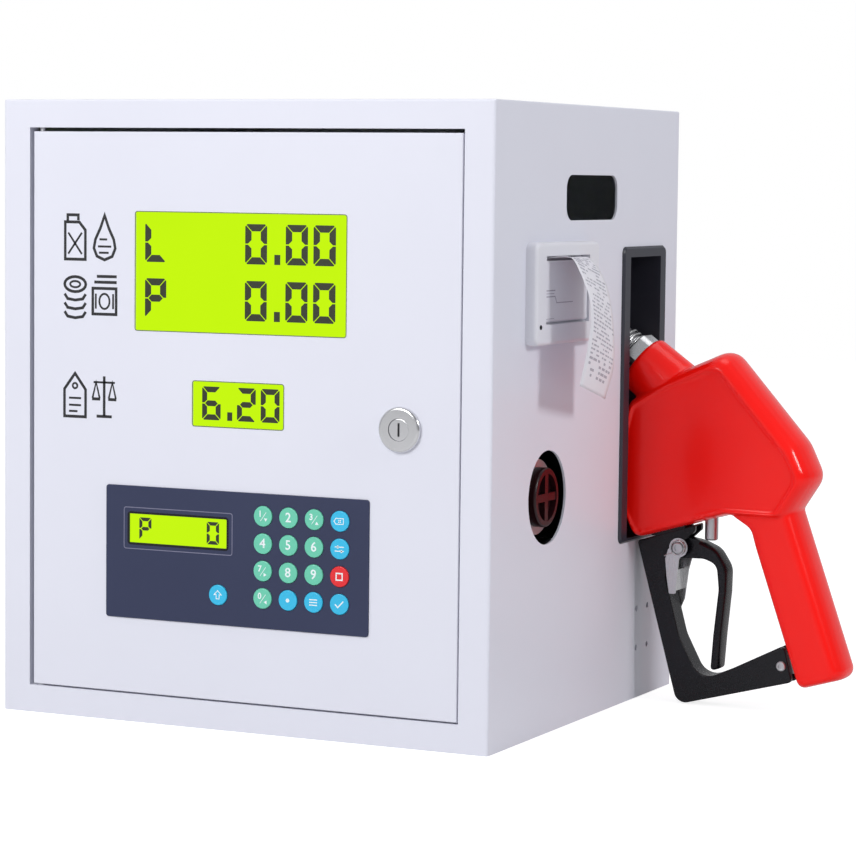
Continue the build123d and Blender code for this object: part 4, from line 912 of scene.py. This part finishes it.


# Printer: painted shade lines for the lid's grooves and edges, a lamp, liners round the flap, and the hanging
# receipt.
def makePrinterShadeLinesAndLamp():
    trim = dict(height=0.12, start=1.2, grooveShades=[(18.6, 17.5, 0.7), (22.4, 17.5, 0.7), (20.5, 16.0, 0.4)],
                step=[(17.5, -22.4), (20, -26.4), (46, -26.4)], stepWidth=0.6, low=[(1, 2.6), (16, 2.9)],
                lowWidth=0.35, lampAt=(5.8, 11.6), lampShape=[(-0.4, 1.5), (0.35, 1.5), (0.6, 1.1)])
    low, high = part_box("printer_lid")
    # The dark lines on the lid are painted shade: they stand for the shade in its grooves and along its step and
    # lower edge.
    ink = printInk("lidShadeInk", (0.34, 0.32, 0.40), (0.42, 0.40, 0.48), 0.45)
    marks = Marks((high.x, low.y + trim["start"] * mm, high.z), trim["height"], (0, 1, 0), (1, 0, 0))
    for drop, length, width in trim["grooveShades"]:
        marks.ribbon([(0, -drop), (length, -drop)], width)
    marks.ribbon(trim["step"], trim["stepWidth"])
    tall = (high.z - low.z) / mm
    marks.ribbon([(y, z - tall) for y, z in trim["low"]], trim["lowWidth"])
    marks.piece("lidShadeLines", ink, "flap", "printer_plastic")
    bezelLow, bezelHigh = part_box("printer_bezel")
    y, z = trim["lampAt"]
    place = Vector((bezelHigh.x, bezelLow.y + y * mm, bezelLow.z + z * mm))
    lamp = roundBar((0, 0), (1, 0), trim["lampShape"], place, 24)
    newPiece("printerLamp", *lamp, finishes["guard_plastic"], "cabinet", "printer_plastic")


makePrinterShadeLinesAndLamp()


def makePrinterLiner():  # thin strips that close the gaps round the flap
    low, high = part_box("printer_lid")
    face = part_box("printer_bezel")[1].x
    pin = 2 * mm
    left, right = low.y + pin, high.y - pin
    liner = dict(back=(-7.6, -6.2), sides=(-7.6, -2.4), top=(-0.4, 2.9), bottom=(-0.68, -0.16),
                 side=(0.12, 0.4), pinClear=4.5)
    strips = [
        (liner["back"], (left, right), (high.z + liner["top"][0] * mm, high.z + liner["top"][1] * mm)),
        (liner["sides"], (left, right), (low.z + liner["bottom"][0] * mm, low.z + liner["bottom"][1] * mm)),
        (liner["sides"], (left - liner["side"][1] * mm, left - liner["side"][0] * mm),
         (low.z + liner["pinClear"] * mm, high.z)),
        (liner["sides"], (right + liner["side"][0] * mm, right + liner["side"][1] * mm),
         (low.z + liner["pinClear"] * mm, high.z))]
    solids = []
    for (x0, x1), (y0, y1), (z0, z1) in strips:
        corners = ((x0, y0), (x1, y0), (x1, y1), (x0, y1))
        solids.append(loft([[Vector((face + x * mm, y, z)) for x, y in corners] for z in (z0, z1)]))
    strip = joined("printerLiner", solids)
    settle(strip, finishes["printer_plastic"], "cabinet")


makePrinterLiner()


receipt = dict(near=[(176.9, 302.6), (186, 304.1), (196.5, 304.0), (203.2, 294), (209.3, 279), (210.6, 264),
                     (208, 245), (203.4, 224.4)],
               far=[(176.9, 302.6), (184, 302.9), (190.8, 297), (197.6, 284.5), (201.5, 268), (203.2, 250),
                    (202.9, 232), (197.5, 212.4)],
               thickness=0.12, rows=44, columns=8, bow=0.9, seed=7)


def curveThrough(points, share):  # a smooth curve through the points, at a share of its length
    lengths = [0.0]
    for a, b in zip(points, points[1:]):
        lengths.append(lengths[-1] + math.dist(a, b))
    target = share * lengths[-1]
    index = max(i for i in range(len(points) - 1) if lengths[i] <= target + 1e-12)
    t = (target - lengths[index]) / (lengths[index + 1] - lengths[index])
    p1, p2 = Vector(points[index]), Vector(points[index + 1])
    p0 = Vector(points[index - 1]) if index else p1 * 2 - p2
    p3 = Vector(points[index + 2]) if index + 2 < len(points) else p2 * 2 - p1
    bend = (2 * p0 - 5 * p1 + 4 * p2 - p3) * t ** 2 + (3 * p1 - p0 - 3 * p2 + p3) * t ** 3
    return 0.5 * ((2 * p1) + (p2 - p0) * t + bend)


def receiptPoint(across, along):
    low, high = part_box("receipt")
    near = curveThrough(receipt["near"], along)
    far = curveThrough(receipt["far"], along)
    flat = near.lerp(far, across)
    bow = receipt["bow"] * math.sin(math.pi * across) * along  # paper keeps a slight cross bow
    return Vector((flat.x * mm + bow * mm, low.y + (high.y - low.y) * across, flat.y * mm))


def makeReceipt():
    rows, columns = receipt["rows"], receipt["columns"]
    grid = [[receiptPoint(c / columns, r / rows) for c in range(columns + 1)] for r in range(rows + 1)]
    normals = []
    for r in range(rows + 1):
        line = []
        for c in range(columns + 1):
            along = grid[min(r + 1, rows)][c] - grid[max(r - 1, 0)][c]
            across = grid[r][min(c + 1, columns)] - grid[r][max(c - 1, 0)]
            line.append(across.cross(along).normalized() * -1)
        normals.append(line)
    thick = receipt["thickness"] * mm / 2
    points = []
    for side in (1, -1):
        points += [grid[r][c] + normals[r][c] * thick * side
                   for r in range(rows + 1) for c in range(columns + 1)]
    across = columns + 1
    second = (rows + 1) * across
    faces = []
    for r in range(rows):
        for c in range(columns):
            a = r * across + c
            quad = (a, a + 1, a + across + 1, a + across)
            faces += [quad, tuple(second + i for i in reversed(quad))]
    border = [c for c in range(columns)] + [r * across + columns for r in range(rows)]
    border += [rows * across + c for c in range(columns, 0, -1)] + [r * across for r in range(rows, 0, -1)]
    for a, b in zip(border, border[1:] + border[:1]):
        faces.append((a, b, second + b, second + a))
    sheet = newPiece("receiptSheet", points, faces, finishes["paper"], "paper", "paper", True)
    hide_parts("receipt")
    middle = [grid[r][columns // 2] for r in range(rows + 1)]
    length = sum((b - a).length for a, b in zip(middle, middle[1:]))
    width = (grid[0][columns] - grid[0][0]).length
    ink = printInk("receiptInk", (0.34, 0.33, 0.39), (0.50, 0.49, 0.56), 0.5, 2200)
    draw = random.Random(receipt["seed"])
    printPoints = []
    printFaces = []
    line = 0.10
    while line < 0.93:
        heavy = line > 0.80
        spot = 0.10
        rowEnd = 0.9 if not heavy else 0.84
        while spot < rowEnd:
            width2 = draw.uniform(0.03, 0.10) if not heavy else draw.uniform(0.05, 0.12)
            tall = 0.010 if not heavy else 0.016
            if draw.random() < (0.72 if not heavy else 0.6):
                corner = []
                end = spot + width2
                for a, l in ((spot, line), (end, line), (end, line + tall), (spot, line + tall)):
                    corner.append(receiptPoint(a, l))
                normal = (corner[1] - corner[0]).cross(corner[3] - corner[0]).normalized() * -1
                first = len(printPoints)
                for height in (0.5, 1.4):
                    printPoints += [place + normal * thick * 2 * height for place in corner]
                printFaces += [tuple(first + i for i in quad) for quad in
                               ((0, 1, 2, 3), (4, 5, 6, 7), (0, 1, 5, 4), (1, 2, 6, 5), (2, 3, 7, 6), (3, 0, 4, 7))]
            spot += width2 + draw.uniform(0.015, 0.05)
        line += 0.026 if not heavy else 0.034
    newPiece("receiptPrint", printPoints, printFaces, ink, "paper", "paper")
    return sheet, length, width


receiptSheet, receiptLength, receiptWidth = makeReceipt()
print("receipt printed, %.1f mm long" % (receiptLength / mm))
